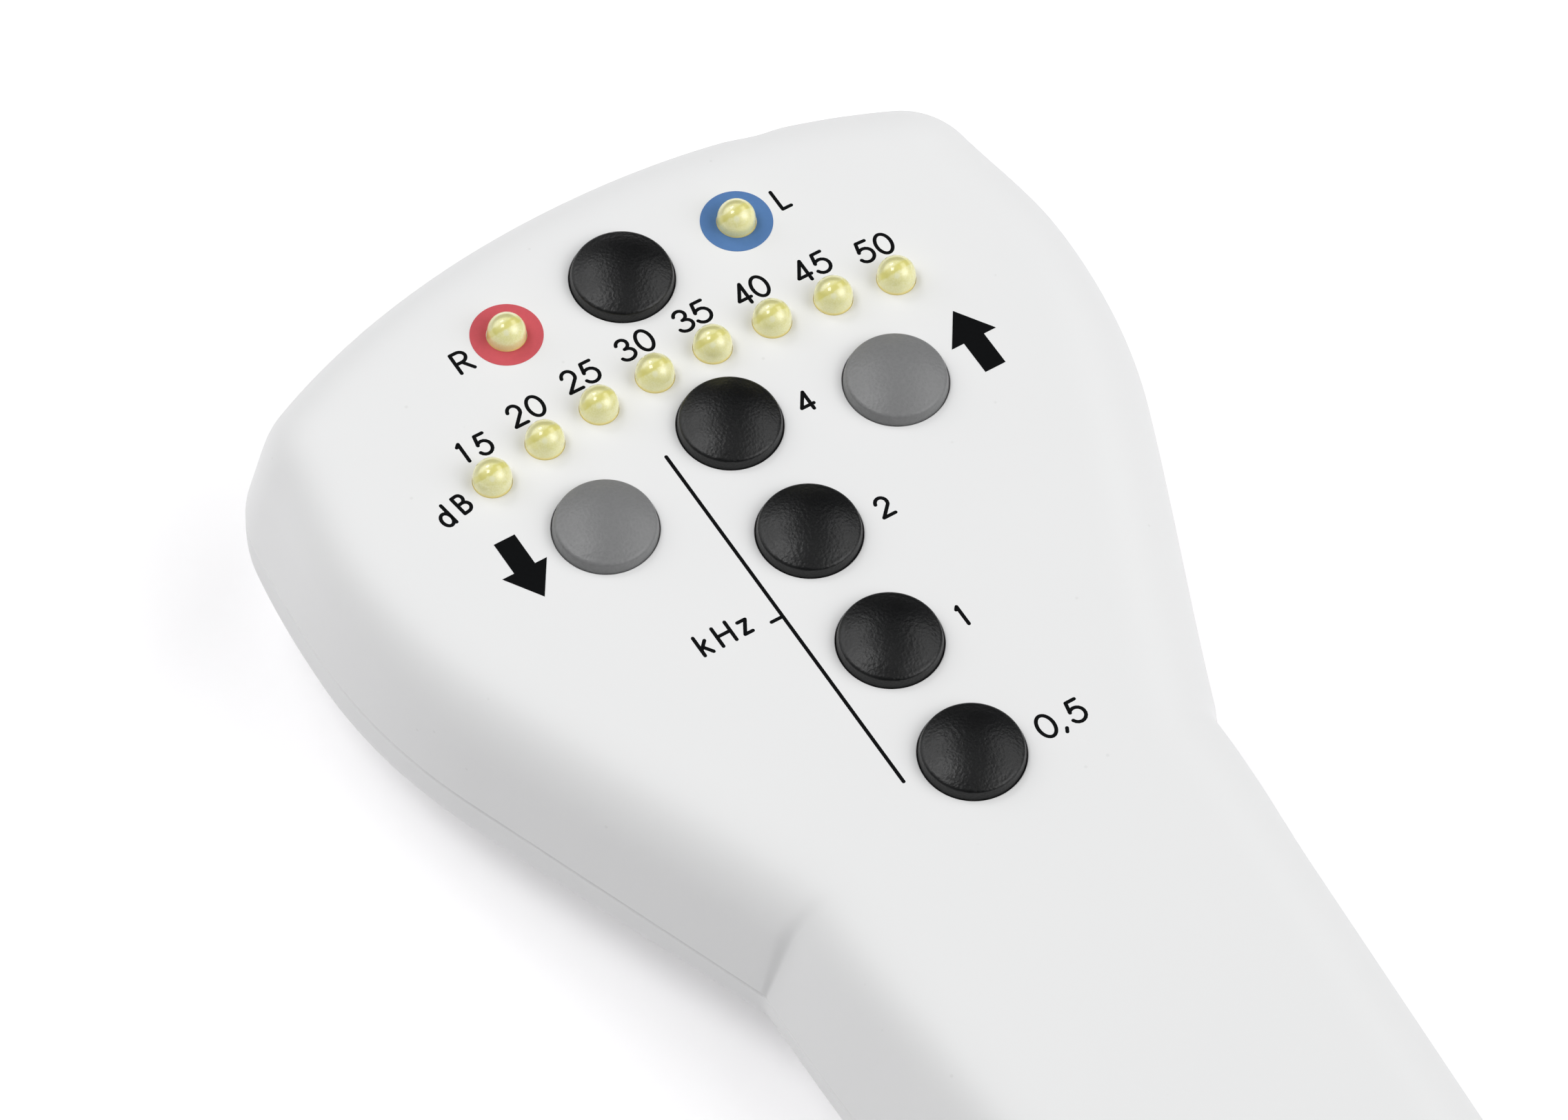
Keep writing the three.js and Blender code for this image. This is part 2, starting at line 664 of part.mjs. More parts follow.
// Battery door: slides off the handle's end on two tongues that ride over the rails
function batteryDoor() {
  const front = trayFrontY - fitGap;
  const skin = backWalls().intersect(block(-doorHalfWidth, doorHalfWidth, handleEndY - overrun, front,
    -housingThickness - overrun, -partingDepth - fitGap));
  const skirtTop = doorTongueDepth;
  const skirtEnd = handleEndY + doorSkirtEndGap;
  let skirts = null;
  for (const side of [-1, 1]) {
    const [near, far] = [side * (doorHalfWidth - doorSkirtThickness), side * doorHalfWidth];
    const [x0, x1] = [Math.min(near, far), Math.max(near, far)];
    const skirt = block(x0, x1, skirtEnd, front, -housingThickness, -skirtTop);
    const tip = side * (doorHalfWidth + doorTongueWidth);
    const tongue = block(Math.min(near, tip), Math.max(near, tip), skirtEnd, front,
      -skirtTop - doorTongueThickness, -skirtTop);
    skirts = skirts ? skirts.add(skirt).add(tongue) : skirt.add(tongue);
  }
  let door = skin.add(skirts.intersect(backOutside()));
  for (let i = 0; i < grooveCount; i += 1) {
    const y = front - grooveStart - i * groovePitch;
    door = door.subtract(block(-grooveLength / 2, grooveLength / 2, y - grooveWidth, y,
      -housingThickness - overrun, -housingThickness + grooveDepth));
  }
  return door;
}

// Main board: follows the head's inside, with clearance for the housing bosses and slots for lamp leads
function mainBoard() {
  const slab = loft(() => [[boardWallGap, boardBottomDepth], [boardWallGap, boardTopDepth]]);
  let board = slab.intersect(block(-headHalfWidth, headHalfWidth, boardEndY, headEndY,
    -boardBottomDepth - overrun, -boardTopDepth + overrun));
  for (const [x, y] of headScrewPlaces) {
    board = board.subtract(post(upperBossRadius + fitGap, x, y, boardTopDepth - overrun,
      boardBottomDepth + overrun, smallSegments));
  }
  for (const [x, y] of boardScrewPlaces) {
    board = board.subtract(post(boardScrewShankRadius + pilotGap, x, y, boardTopDepth - overrun,
      boardBottomDepth + overrun, smallSegments));
  }
  board = board.subtract(block(socketX - recessBossRadius - fitGap, socketX + recessBossRadius + fitGap,
    socketBodyFront - fitGap * 2, headEndY, -boardBottomDepth - overrun, -boardTopDepth + overrun));
  const half = (lampLeadSpacing + lampLeadWidth) / 2 + fitGap / 2;
  for (const { x, y } of lampPlaces) {
    board = board.subtract(block(x - half, x + half, y - leadSlotWidth / 2, y + leadSlotWidth / 2,
      -boardBottomDepth - overrun, -boardTopDepth + overrun));
  }
  return board;
}

// Button cap: crowned top, slightly tapered side, flange under the panel and a post over the switch
function buttonCap() {
  const skirtInside = buttonFlangeRadius - buttonSkirtThickness - fitGap;
  const points = [
    new THREE.Vector2(0, -buttonFootDepth),
    new THREE.Vector2(buttonPostRadius, -buttonFootDepth),
    new THREE.Vector2(buttonPostRadius, -buttonRoofDepth),
    new THREE.Vector2(skirtInside, -buttonRoofDepth),
    new THREE.Vector2(skirtInside, -wellTopDepth - buttonFlangeThickness),
    new THREE.Vector2(buttonFlangeRadius, -wellTopDepth - buttonFlangeThickness),
    new THREE.Vector2(buttonFlangeRadius, -wellTopDepth),
    new THREE.Vector2(buttonRadius, -wellTopDepth),
    new THREE.Vector2(buttonRadius, 0),
    new THREE.Vector2(buttonTopRadius, buttonEdgeHeight - buttonEdgeRound),
  ];
  const crownSteps = 2;
  const rim = buttonTopRadius - buttonEdgeRound;
  for (let i = 0; i <= crownSteps; i += 1) {
    const share = 1 - i / crownSteps;
    points.push(new THREE.Vector2(rim * share, buttonEdgeHeight + buttonCrownHeight * (1 - share ** 2)));
  }
  return lathe(points, roundSegments);
}

// Revolved about Z
function lathe(points, segments) {
  const geometry = new THREE.LatheGeometry(points, segments);
  geometry.rotateX(Math.PI / 2);
  return toSolid(geometry);
}

function switchBody() {
  const top = -boardTopDepth + seatGap + switchBodyHeight;
  const half = switchWidth / 2;
  return block(-half, half, -half, half, -boardTopDepth + seatGap, top)
    .subtract(post(switchPlungerRadius + pilotGap, 0, 0, -top - overrun, -top + switchWellDepth, smallSegments));
}

function switchPlunger() {
  const bodyTop = boardTopDepth - switchBodyHeight;
  return post(switchPlungerRadius, 0, 0, switchTopDepth, bodyTop + switchPlungerFoot, smallSegments);
}

// Lamp: 3 mm LED with a domed lens, flange and two leads
function lamp() {
  const domeSteps = 3;
  const points = [
    new THREE.Vector2(0, -wellTopDepth - lampFlangeThickness),
    new THREE.Vector2(lampFlangeRadius, -wellTopDepth - lampFlangeThickness),
    new THREE.Vector2(lampFlangeRadius, -wellTopDepth),
    new THREE.Vector2(lampRadius, -wellTopDepth),
  ];
  for (let i = 0; i <= domeSteps; i += 1) {
    const angle = Math.PI / 2 * i / domeSteps;
    points.push(new THREE.Vector2(lampRadius * Math.cos(angle), lampDomeBase + lampRadius * Math.sin(angle)));
  }
  points[points.length - 1].x = 0;
  let body = lathe(points, lampSegments);
  for (const side of [-1, 1]) {
    const x = side * lampLeadSpacing / 2;
    const half = lampLeadWidth / 2;
    body = body.add(block(x - half, x + half, -half, half, -boardBottomDepth - lampLeadTail,
      -wellTopDepth - lampFlangeThickness / 2));
  }
  return body;
}

// Headphone socket: board-mounted body with a round bushing that looks out of the recess
function headphoneSocket() {
  const half = socketBodyWidth / 2;
  const mouth = recessFloorY + socketBushingProud;
  return block(socketX - half, socketX + half, socketBodyFront - socketBodyLength, socketBodyFront,
    -boardTopDepth + seatGap, -boardTopDepth + seatGap + socketBodyHeight)
    .add(rod(socketBushingRadius, socketX, socketAxisDepth, socketBodyFront - fitGap, mouth))
    .subtract(rod(socketBoreRadius, socketX, socketAxisDepth, mouth - socketBoreDepth, mouth + overrun,
      smallSegments));
}

// Self-tapping screw with its head towards the back and a driver recess
function screw(shankRadius, headRadius, headHeight, reach, headTopDepth, sockets) {
  const shank = post(shankRadius, 0, 0, headTopDepth - reach, headTopDepth + headHeight / 2, smallSegments);
  const head = post(headRadius, 0, 0, headTopDepth, headTopDepth + headHeight, smallSegments);
  const foot = headTopDepth + headHeight;
  const recess = post(sockets.radius, 0, 0, foot - sockets.depth, foot + overrun, wireSides);
  return shank.add(head).subtract(recess);
}

function headScrew() {
  const seat = housingThickness - counterboreDepth + seatGap;
  return screw(screwShankRadius, screwHeadRadius, screwHeadHeight, seat - bossMeetDepth + screwReach, seat,
    { radius: screwSocketRadius, depth: screwSocketDepth });
}

function handleScrew() {
  const seat = bridgeTopDepth + bridgeHeight + seatGap;
  return screw(screwShankRadius, screwHeadRadius, screwHeadHeight, bridgeHeight + screwReach, seat,
    { radius: screwSocketRadius, depth: screwSocketDepth });
}

function boardScrew() {
  return screw(boardScrewShankRadius, boardScrewHeadRadius, boardScrewHeadHeight,
    boardThickness + boardScrewReach, boardBottomDepth + seatGap,
    { radius: boardScrewShankRadius / 2, depth: boardScrewHeadHeight / 2 });
}

// Dry cell that lies along Y with its positive end towards +Y
function cell() {
  const inner = cellRadius - cellEndRound;
  const half = cellLength / 2;
  const points = [
    new THREE.Vector2(0, -half),
    new THREE.Vector2(inner, -half),
    new THREE.Vector2(cellRadius, -half + cellEndRound),
    new THREE.Vector2(cellRadius, half - cellEndRound),
    new THREE.Vector2(inner, half),
    new THREE.Vector2(cellNubRadius, half),
    new THREE.Vector2(cellNubRadius, half + cellNubHeight),
    new THREE.Vector2(0, half + cellNubHeight),
  ];
  return toSolid(new THREE.LatheGeometry(points, roundSegments));
}

// Coil that stands out of a contact plate along -Y and narrows to its tip
class CoilCurve extends THREE.Curve {
  getPoint(share, target = new THREE.Vector3()) {
    const angle = share * contactSpringTurns * Math.PI * 2;
    const radius = THREE.MathUtils.lerp(contactSpringRadius, contactSpringTipRadius, share);
    const travel = contactSpringLength - contactSpringWire;
    return target.set(radius * Math.cos(angle), -share * travel, radius * Math.sin(angle));
  }
}

function ringShape(radius, sides) {
  const shape = new THREE.Shape();
  for (let i = 0; i < sides; i += 1) {
    const angle = i / sides * Math.PI * 2;
    const [x, y] = [radius * Math.cos(angle), radius * Math.sin(angle)];
    if (i === 0) shape.moveTo(x, y);
    else shape.lineTo(x, y);
  }
  shape.closePath();
  return shape;
}

function coil(x) {
  const geometry = new THREE.ExtrudeGeometry(ringShape(contactSpringWire, springSides), {
    steps: contactSpringTurns * springSteps, extrudePath: new CoilCurve(), bevelEnabled: false,
  });
  geometry.translate(x, -contactThickness, 0);
  return toSolid(geometry);
}

function dimple(x) {
  return rod(contactDimpleRadius, x, 0, -contactThickness - contactDimpleHeight, -contactThickness / 2,
    smallSegments);
}

// Contact plates stand against the tray's end walls; their faces look along -Y
function contactPlate(x0, x1, tabX) {
  const half = contactHeight / 2;
  const plate = block(x0, x1, -contactThickness, 0, -half, half);
  if (tabX === null) return plate;
  const tabTop = cellDepth - trayFloorTopDepth + contactTabHeight;
  const tab = block(tabX - contactTabWidth / 2, tabX + contactTabWidth / 2, -contactThickness, 0, 0, tabTop);
  return plate.add(tab);
}

function springContact() {
  return contactPlate(-contactWidth / 2, contactWidth / 2, 0).add(coil(0));
}

function dimpleContact() {
  return contactPlate(-contactWidth / 2, contactWidth / 2, 0).add(dimple(0));
}

// The bridge contact stands at the far end and is turned to face +Y
function bridgeContact() {
  const half = (cellSpacing + contactWidth) / 2;
  return contactPlate(-half, half, null).add(coil(cellSpacing / 2)).add(dimple(-cellSpacing / 2));
}

// Battery wire from a contact's tab over the tray's front wall to the board's end
function batteryWire() {
  const tabTop = trayFloorTopDepth - contactTabHeight;
  const tabY = trayFrontY - seatGap - contactThickness / 2;
  const boardY = boardEndY + wireOverBoard;
  const startDepth = tabTop - seatGap - wireRadius;
  const endDepth = boardTopDepth - seatGap - wireRadius;
  const path = new THREE.CatmullRomCurve3([
    new THREE.Vector3(0, tabY - wireRadius, -startDepth),
    new THREE.Vector3(0, tabY + wireRise, -startDepth + wireRise / 2),
    new THREE.Vector3(0, (tabY + boardY) / 2, -(startDepth + endDepth) / 2 + wireRise / 2),
    new THREE.Vector3(0, boardY - wireRise, -endDepth),
    new THREE.Vector3(0, boardY, -endDepth),
  ]);
  const geometry = new THREE.ExtrudeGeometry(ringShape(wireRadius, wireSides), {
    steps: wireSteps, extrudePath: path, bevelEnabled: false,
  });
  return toSolid(geometry);
}

// Chips sit under the board
function chip([width, length, height], x, y) {
  const top = boardBottomDepth + seatGap;
  return block(x - width / 2, x + width / 2, y - length / 2, y + length / 2, -top - height, -top);
}

function capacitor() {
  const top = -boardBottomDepth - seatGap;
  const neck = top - capacitorNeckHeight;
  const points = [
    new THREE.Vector2(0, top - capacitorHeight),
    new THREE.Vector2(capacitorRadius, top - capacitorHeight),
    new THREE.Vector2(capacitorRadius, neck - capacitorNeckDepth),
    new THREE.Vector2(capacitorRadius - capacitorNeckDepth, neck),
    new THREE.Vector2(capacitorRadius, neck + capacitorNeckDepth),
    new THREE.Vector2(capacitorRadius, top),
    new THREE.Vector2(0, top),
  ];
  return lathe(points, smallSegments);
}

// Materials
const plastic = new THREE.MeshStandardMaterial({ color: 0xeeeeec, roughness: 0.5, metalness: 0 });
const blackCap = new THREE.MeshStandardMaterial({ color: 0x161718, roughness: 0.55, metalness: 0 });
const greyCap = new THREE.MeshStandardMaterial({ color: 0x77797b, roughness: 0.55, metalness: 0 });
const lens = new THREE.MeshStandardMaterial({ color: 0xd9d288, roughness: 0.2, metalness: 0 });
const laminate = new THREE.MeshStandardMaterial({ color: 0x1f5c3a, roughness: 0.5, metalness: 0 });
const moulding = new THREE.MeshStandardMaterial({ color: 0x202022, roughness: 0.6, metalness: 0 });
const steel = new THREE.MeshStandardMaterial({ color: 0xb9bcc0, roughness: 0.35, metalness: 1 });
const nickel = new THREE.MeshStandardMaterial({ color: 0xc8c4b8, roughness: 0.3, metalness: 1 });
const cellSleeve = new THREE.MeshStandardMaterial({ color: 0x3a5f8a, roughness: 0.4, metalness: 0.2 });
const redWire = new THREE.MeshStandardMaterial({ color: 0xb02525, roughness: 0.5, metalness: 0 });
const blackWire = new THREE.MeshStandardMaterial({ color: 0x18181a, roughness: 0.5, metalness: 0 });

const device = new THREE.Group();
device.position.set(0, -lengthCentreY, housingThickness);

function addPiece(name, geometry, material, x = 0, y = 0, z = 0) {
  const mesh = new THREE.Mesh(geometry, material);
  mesh.name = name;
  mesh.position.set(x, y, z);
  device.add(mesh);
  return mesh;
}

addPiece('upper_shell', toGeometry(upperShell()), plastic);
addPiece('lower_shell', toGeometry(lowerShell()), plastic);
addPiece('battery_door', toGeometry(batteryDoor()), plastic);
addPiece('main_board', toGeometry(mainBoard()), laminate);

const capGeometry = toGeometry(buttonCap());
const switchBodyGeometry = toGeometry(switchBody());
const switchPlungerGeometry = toGeometry(switchPlunger());
for (const { name, x, y, colour } of buttonPlaces) {
  addPiece(`${name}_button`, capGeometry, colour === 'black' ? blackCap : greyCap, x, y);
  addPiece(`${name}_switch_body`, switchBodyGeometry, moulding, x, y);
  addPiece(`${name}_switch_plunger`, switchPlungerGeometry, moulding, x, y);
}

const lampGeometry = toGeometry(lamp());
for (const { name, x, y } of lampPlaces) addPiece(name, lampGeometry, lens, x, y);

addPiece('headphone_socket', toGeometry(headphoneSocket()), moulding);

const headScrewGeometry = toGeometry(headScrew());
headScrewPlaces.forEach(([x, y], i) => addPiece(`head_screw_${i + 1}`, headScrewGeometry, steel, x, y));
addPiece('handle_screw', toGeometry(handleScrew()), steel, 0, handleScrewY);
const boardScrewGeometry = toGeometry(boardScrew());
boardScrewPlaces.forEach(([x, y], i) => addPiece(`board_screw_${i + 1}`, boardScrewGeometry, steel, x, y));

// The left-hand cell's positive end meets the front dimple, the right-hand cell is turned round
const cellGeometry = toGeometry(cell());
const frontPlateY = trayFrontY - seatGap;
const backPlateY = trayBackY + seatGap;
const dimpleStack = seatGap + contactThickness + contactDimpleHeight + fitGap + cellNubHeight;
const leftCellY = trayFrontY - dimpleStack - cellLength / 2;
const rightCellY = trayBackY + dimpleStack + cellLength / 2;
addPiece('left_cell', cellGeometry, cellSleeve, -cellSpacing / 2, leftCellY, -cellDepth);
const turnedCell = addPiece('right_cell', cellGeometry, cellSleeve, cellSpacing / 2, rightCellY, -cellDepth);
turnedCell.rotation.z = Math.PI;
addPiece('positive_contact', toGeometry(dimpleContact()), nickel, -cellSpacing / 2, frontPlateY, -cellDepth);
addPiece('negative_contact', toGeometry(springContact()), nickel, cellSpacing / 2, frontPlateY, -cellDepth);
const bridge = addPiece('bridge_contact', toGeometry(bridgeContact()), nickel, 0, backPlateY, -cellDepth);
bridge.rotation.z = Math.PI;

const wireGeometry = toGeometry(batteryWire());
addPiece('positive_wire', wireGeometry, redWire, -cellSpacing / 2);
addPiece('negative_wire', wireGeometry, blackWire, cellSpacing / 2);

addPiece('microcontroller', toGeometry(chip(microcontrollerSize, 0, microcontrollerY)), moulding);
addPiece('tone_generator', toGeometry(chip(toneGeneratorSize, toneGeneratorX, toneGeneratorY)), moulding);
addPiece('output_amplifier', toGeometry(chip(amplifierSize, amplifierX, amplifierY)), moulding);
const capacitorGeometry = toGeometry(capacitor());
addPiece('left_capacitor', capacitorGeometry, steel, -capacitorSpacing / 2, capacitorY);
addPiece('right_capacitor', capacitorGeometry, steel, capacitorSpacing / 2, capacitorY);

export default device;
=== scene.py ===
import math

import bpy
import numpy as np
from mathutils import Matrix, Vector


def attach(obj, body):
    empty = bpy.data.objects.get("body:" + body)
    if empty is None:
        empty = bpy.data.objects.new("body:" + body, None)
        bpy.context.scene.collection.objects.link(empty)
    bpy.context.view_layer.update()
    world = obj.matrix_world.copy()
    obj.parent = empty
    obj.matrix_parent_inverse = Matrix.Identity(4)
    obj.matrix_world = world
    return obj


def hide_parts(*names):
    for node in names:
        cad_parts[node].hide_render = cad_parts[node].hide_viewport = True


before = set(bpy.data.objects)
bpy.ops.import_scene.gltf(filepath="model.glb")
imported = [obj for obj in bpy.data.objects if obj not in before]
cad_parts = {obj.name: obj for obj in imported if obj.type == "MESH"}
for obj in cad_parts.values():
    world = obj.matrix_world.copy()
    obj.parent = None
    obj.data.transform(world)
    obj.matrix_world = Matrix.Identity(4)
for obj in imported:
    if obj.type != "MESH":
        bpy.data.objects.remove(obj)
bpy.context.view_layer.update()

# Camera
# Stands over the left side of the handle and looks down on the head with a long lens.
camera = bpy.data.objects.new("camera", bpy.data.cameras.new("camera"))
camera.data.sensor_width = 36
camera.data.lens = 176.2
camera.data.clip_start = 0.05
camera.data.clip_end = 20
camera.matrix_world = Matrix((
    (0.84690839, 0.43360531, -0.30778665, -0.17446),
    (-0.53086198, 0.7226987, -0.44259706, -0.20610),
    (0.03052458, 0.53823139, 0.84224416, 0.49158),
    (0, 0, 0, 1),
))
bpy.context.scene.collection.objects.link(camera)
bpy.context.scene.camera = camera
bpy.context.scene.view_settings.view_transform = "Standard"


# Studio
# A white paper floor in a room whose light comes in soft patches, listed by azimuth, height and strength.
# A broad softbox stands over the left shoulder, two narrow panes behind the head, so that the lamps mirror
# a window, and one softbox to the right, which throws the shadow to the left.
class Signal:
    """One socket in a material's nodes. Sums, differences and products of signals add Math nodes."""

    def __init__(self, tree, socket=None):
        self.tree = tree
        self.socket = socket

    def node(self, kind, settings, inputs, output=0):
        """Adds a node: its settings first, then the values or signals of its sockets."""
        made = self.tree.nodes.new(kind)
        for name, value in settings.items():
            setattr(made, name, value)
        for name, value in inputs.items():
            if isinstance(value, Signal):
                self.tree.links.new(value.socket, made.inputs[name])
            else:
                made.inputs[name].default_value = value
        return Signal(self.tree, made.outputs[output] if made.outputs else None)

    def math(self, operation, first, second):
        return self.node("ShaderNodeMath", {"operation": operation}, {0: first, 1: second})

    def __add__(self, other):
        return self.math("ADD", self, other)

    def __radd__(self, other):
        return self.math("ADD", other, self)

    def __sub__(self, other):
        return self.math("SUBTRACT", self, other)

    def __rsub__(self, other):
        return self.math("SUBTRACT", other, self)

    def __mul__(self, other):
        return self.math("MULTIPLY", self, other)

    def __rmul__(self, other):
        return self.math("MULTIPLY", other, self)

    def clamped(self, low, high):
        """This signal taken from low..high to 0..1, held at both ends."""
        return self.node("ShaderNodeMapRange", {"interpolation_type": "SMOOTHSTEP"},
                         {"Value": self, "From Min": low, "From Max": high})

    def mixed(self, first, second):
        """The first colour where this signal is 0 and the second where it is 1."""
        return self.node("ShaderNodeMix", {"data_type": "RGBA"}, {0: self, 6: first, 7: second}, 2)

    def noise(self, scale, detail):
        """Cloudy noise that is fixed to the piece."""
        place = self.node("ShaderNodeTexCoord", {}, {}, "Object")
        return self.node("ShaderNodeTexNoise", {}, {"Vector": place, "Scale": scale, "Detail": detail})

    def bump(self, strength, distance):
        return self.node("ShaderNodeBump", {}, {"Strength": strength, "Distance": distance, "Height": self})

    def surface(self, inputs):
        """Ends a material with one shader."""
        shader = self.node("ShaderNodeBsdfPrincipled", {}, inputs)
        self.node("ShaderNodeOutputMaterial", {}, {"Surface": shader})


def emptied(block):
    """A new material or world with its nodes cleared, and the signal that its nodes start from."""
    block.use_nodes = True
    block.node_tree.nodes.clear()
    return block, Signal(block.node_tree)


def grey(value):
    return (value, value, value, 1)


floor_half, floor_height = 3.0, -2e-5
floor_mesh = bpy.data.meshes.new("paper_floor")
floor_mesh.from_pydata(
    [(x * floor_half, y * floor_half, floor_height) for x, y in [(-1, -1), (1, -1), (1, 1), (-1, 1)]],
    [], [(0, 1, 2, 3)])
floor = bpy.data.objects.new("paper_floor", floor_mesh)
bpy.context.scene.collection.objects.link(floor)

paper_glow = 0.28
paper, start = emptied(bpy.data.materials.new("white_paper"))
seen = start.node("ShaderNodeLightPath", {}, {}, "Is Camera Ray")
glossy = Signal(seen.tree, seen.socket.node.outputs["Is Glossy Ray"])
through = Signal(seen.tree, seen.socket.node.outputs["Is Transmission Ray"])
paper_colour = start.noise(700.0, 3.0).mixed((0.93, 0.925, 0.935, 1), (0.95, 0.945, 0.955, 1))
diffuse = start.node("ShaderNodeBsdfDiffuse", {}, {"Color": paper_colour})
glow = start.node("ShaderNodeEmission", {}, {
    "Color": (1.0, 0.99, 1.0, 1), "Strength": (seen + glossy + through) * paper_glow})
lit = start.node("ShaderNodeAddShader", {}, {0: diffuse, 1: glow})
start.node("ShaderNodeOutputMaterial", {}, {"Surface": lit})
floor_mesh.materials.append(paper)

patch_sharpness = 14.0
bpy.context.scene.world, start = emptied(bpy.data.worlds.new("pale_room"))
way = start.node("ShaderNodeTexCoord", {}, {}, "Generated")
way = start.node("ShaderNodeVectorMath", {"operation": "NORMALIZE"}, {0: way})
room = 0.0
for azimuth, height, strength in [(90, 25, 0.15), (125, 25, 1.5), (120, 52, 0.85), (150, 52, 0.65),
                                  (200, 20, 0.35), (315, 25, 1.1), (310, 42, 3.7)]:
    turn, rise = math.radians(azimuth), math.radians(height)
    aim = (math.cos(rise) * math.cos(turn), math.cos(rise) * math.sin(turn), math.sin(rise))
    facing = start.node("ShaderNodeVectorMath", {"operation": "DOT_PRODUCT"}, {0: way, 1: aim}, "Value")
    room = room + start.math("EXPONENT", (facing - 1.0) * patch_sharpness, 0.0) * strength
backdrop = start.node("ShaderNodeBackground", {}, {"Color": grey(1.0), "Strength": room})
start.node("ShaderNodeOutputWorld", {}, {"Surface": backdrop})

for name, place, aim, width, depth, watts in [
    ("back_softbox", (-0.30, 0.23, 0.78), (0, 0.05, 0.02), 0.26, 0.24, 1.4),
    ("left_pane", (-0.12, 0.59, 0.62), (0, 0.05, 0.02), 0.10, 0.16, 0.3),
    ("right_pane", (0.00, 0.60, 0.62), (0, 0.05, 0.02), 0.10, 0.16, 0.3),
    ("side_softbox", (0.58, 0.11, 0.60), (0, 0.03, 0.02), 0.40, 0.40, 0.95),
]:
    light = bpy.data.lights.new(name, "AREA")
    light.shape = "RECTANGLE"
    light.size = width
    light.size_y = depth
    light.energy = watts
    softbox = bpy.data.objects.new(name, light)
    softbox.location = place
    softbox.rotation_mode = "QUATERNION"
    softbox.rotation_quaternion = (Vector(aim) - Vector(place)).to_track_quat("-Z", "Y")
    softbox.visible_camera = False
    bpy.context.scene.collection.objects.link(softbox)

# Upper shell
# The moulded front half of the housing in off-white ABS: a flat panel with softly rounded edges, holes for
# the caps and lamps, and a round recess in the head end for the headphone socket. Sizes are in millimetres
# from the centre of the uppermost frequency cap on the panel; depths run down from the panel.
panel_height = 22.0
row_shift = 52.7
parting_depth = 11.0
wall = 2.0


def row(x, y, depth=0.0):
    """A place on or under the panel, as metres in the frame that all pieces share."""
    return (x / 1000, (y + row_shift) / 1000, (panel_height - depth) / 1000)


def arc_places(centre, start, end, gap=1.0, turn_gap=2.5):
    """Places and ways along an arc, the short way round."""
    radius = (start - centre).length
    first = math.atan2(start.y - centre.y, start.x - centre.x)
    last = math.atan2(end.y - centre.y, end.x - centre.x)
    turn = (last - first + math.pi) % (2 * math.pi) - math.pi
    steps = max(2, math.ceil(abs(turn) / math.radians(turn_gap)), math.ceil(radius * abs(turn) / gap))
    sign = math.copysign(1, turn)
    places = []
    for i in range(steps + 1):
        angle = first + turn * i / steps
        places.append((centre + radius * Vector((math.cos(angle), math.sin(angle))),
                       sign * Vector((-math.sin(angle), math.cos(angle)))))
    return places


def line_places(start, end, gap=1.0):
    steps = max(2, math.ceil((end - start).length / gap))
    way = (end - start).normalized()
    return [(start.lerp(end, i / steps), way) for i in range(steps + 1)]


def bend_places(start, corner, end, gap=1.0):
    """Places and ways along an easy curve that leaves one line and ends on another."""
    steps = math.ceil(((corner - start).length + (end - corner).length) / gap)
    places = []
    for i in range(steps + 1):
        t = i / steps
        way = (corner - start) * (1 - t) + (end - corner) * t
        places.append((start * (1 - t) ** 2 + corner * 2 * t * (1 - t) + end * t * t, way.normalized()))
    return places


def circles_meet(a, radius_a, b, radius_b):
    gap = b - a
    along = (radius_a ** 2 - radius_b ** 2 + gap.length ** 2) / (2 * gap.length)
    across = math.sqrt(radius_a ** 2 - along ** 2)
    way = gap.normalized()
    return max((a + way * along + side * across * Vector((-way.y, way.x)) for side in (1, -1)), key=lambda p: p.x)


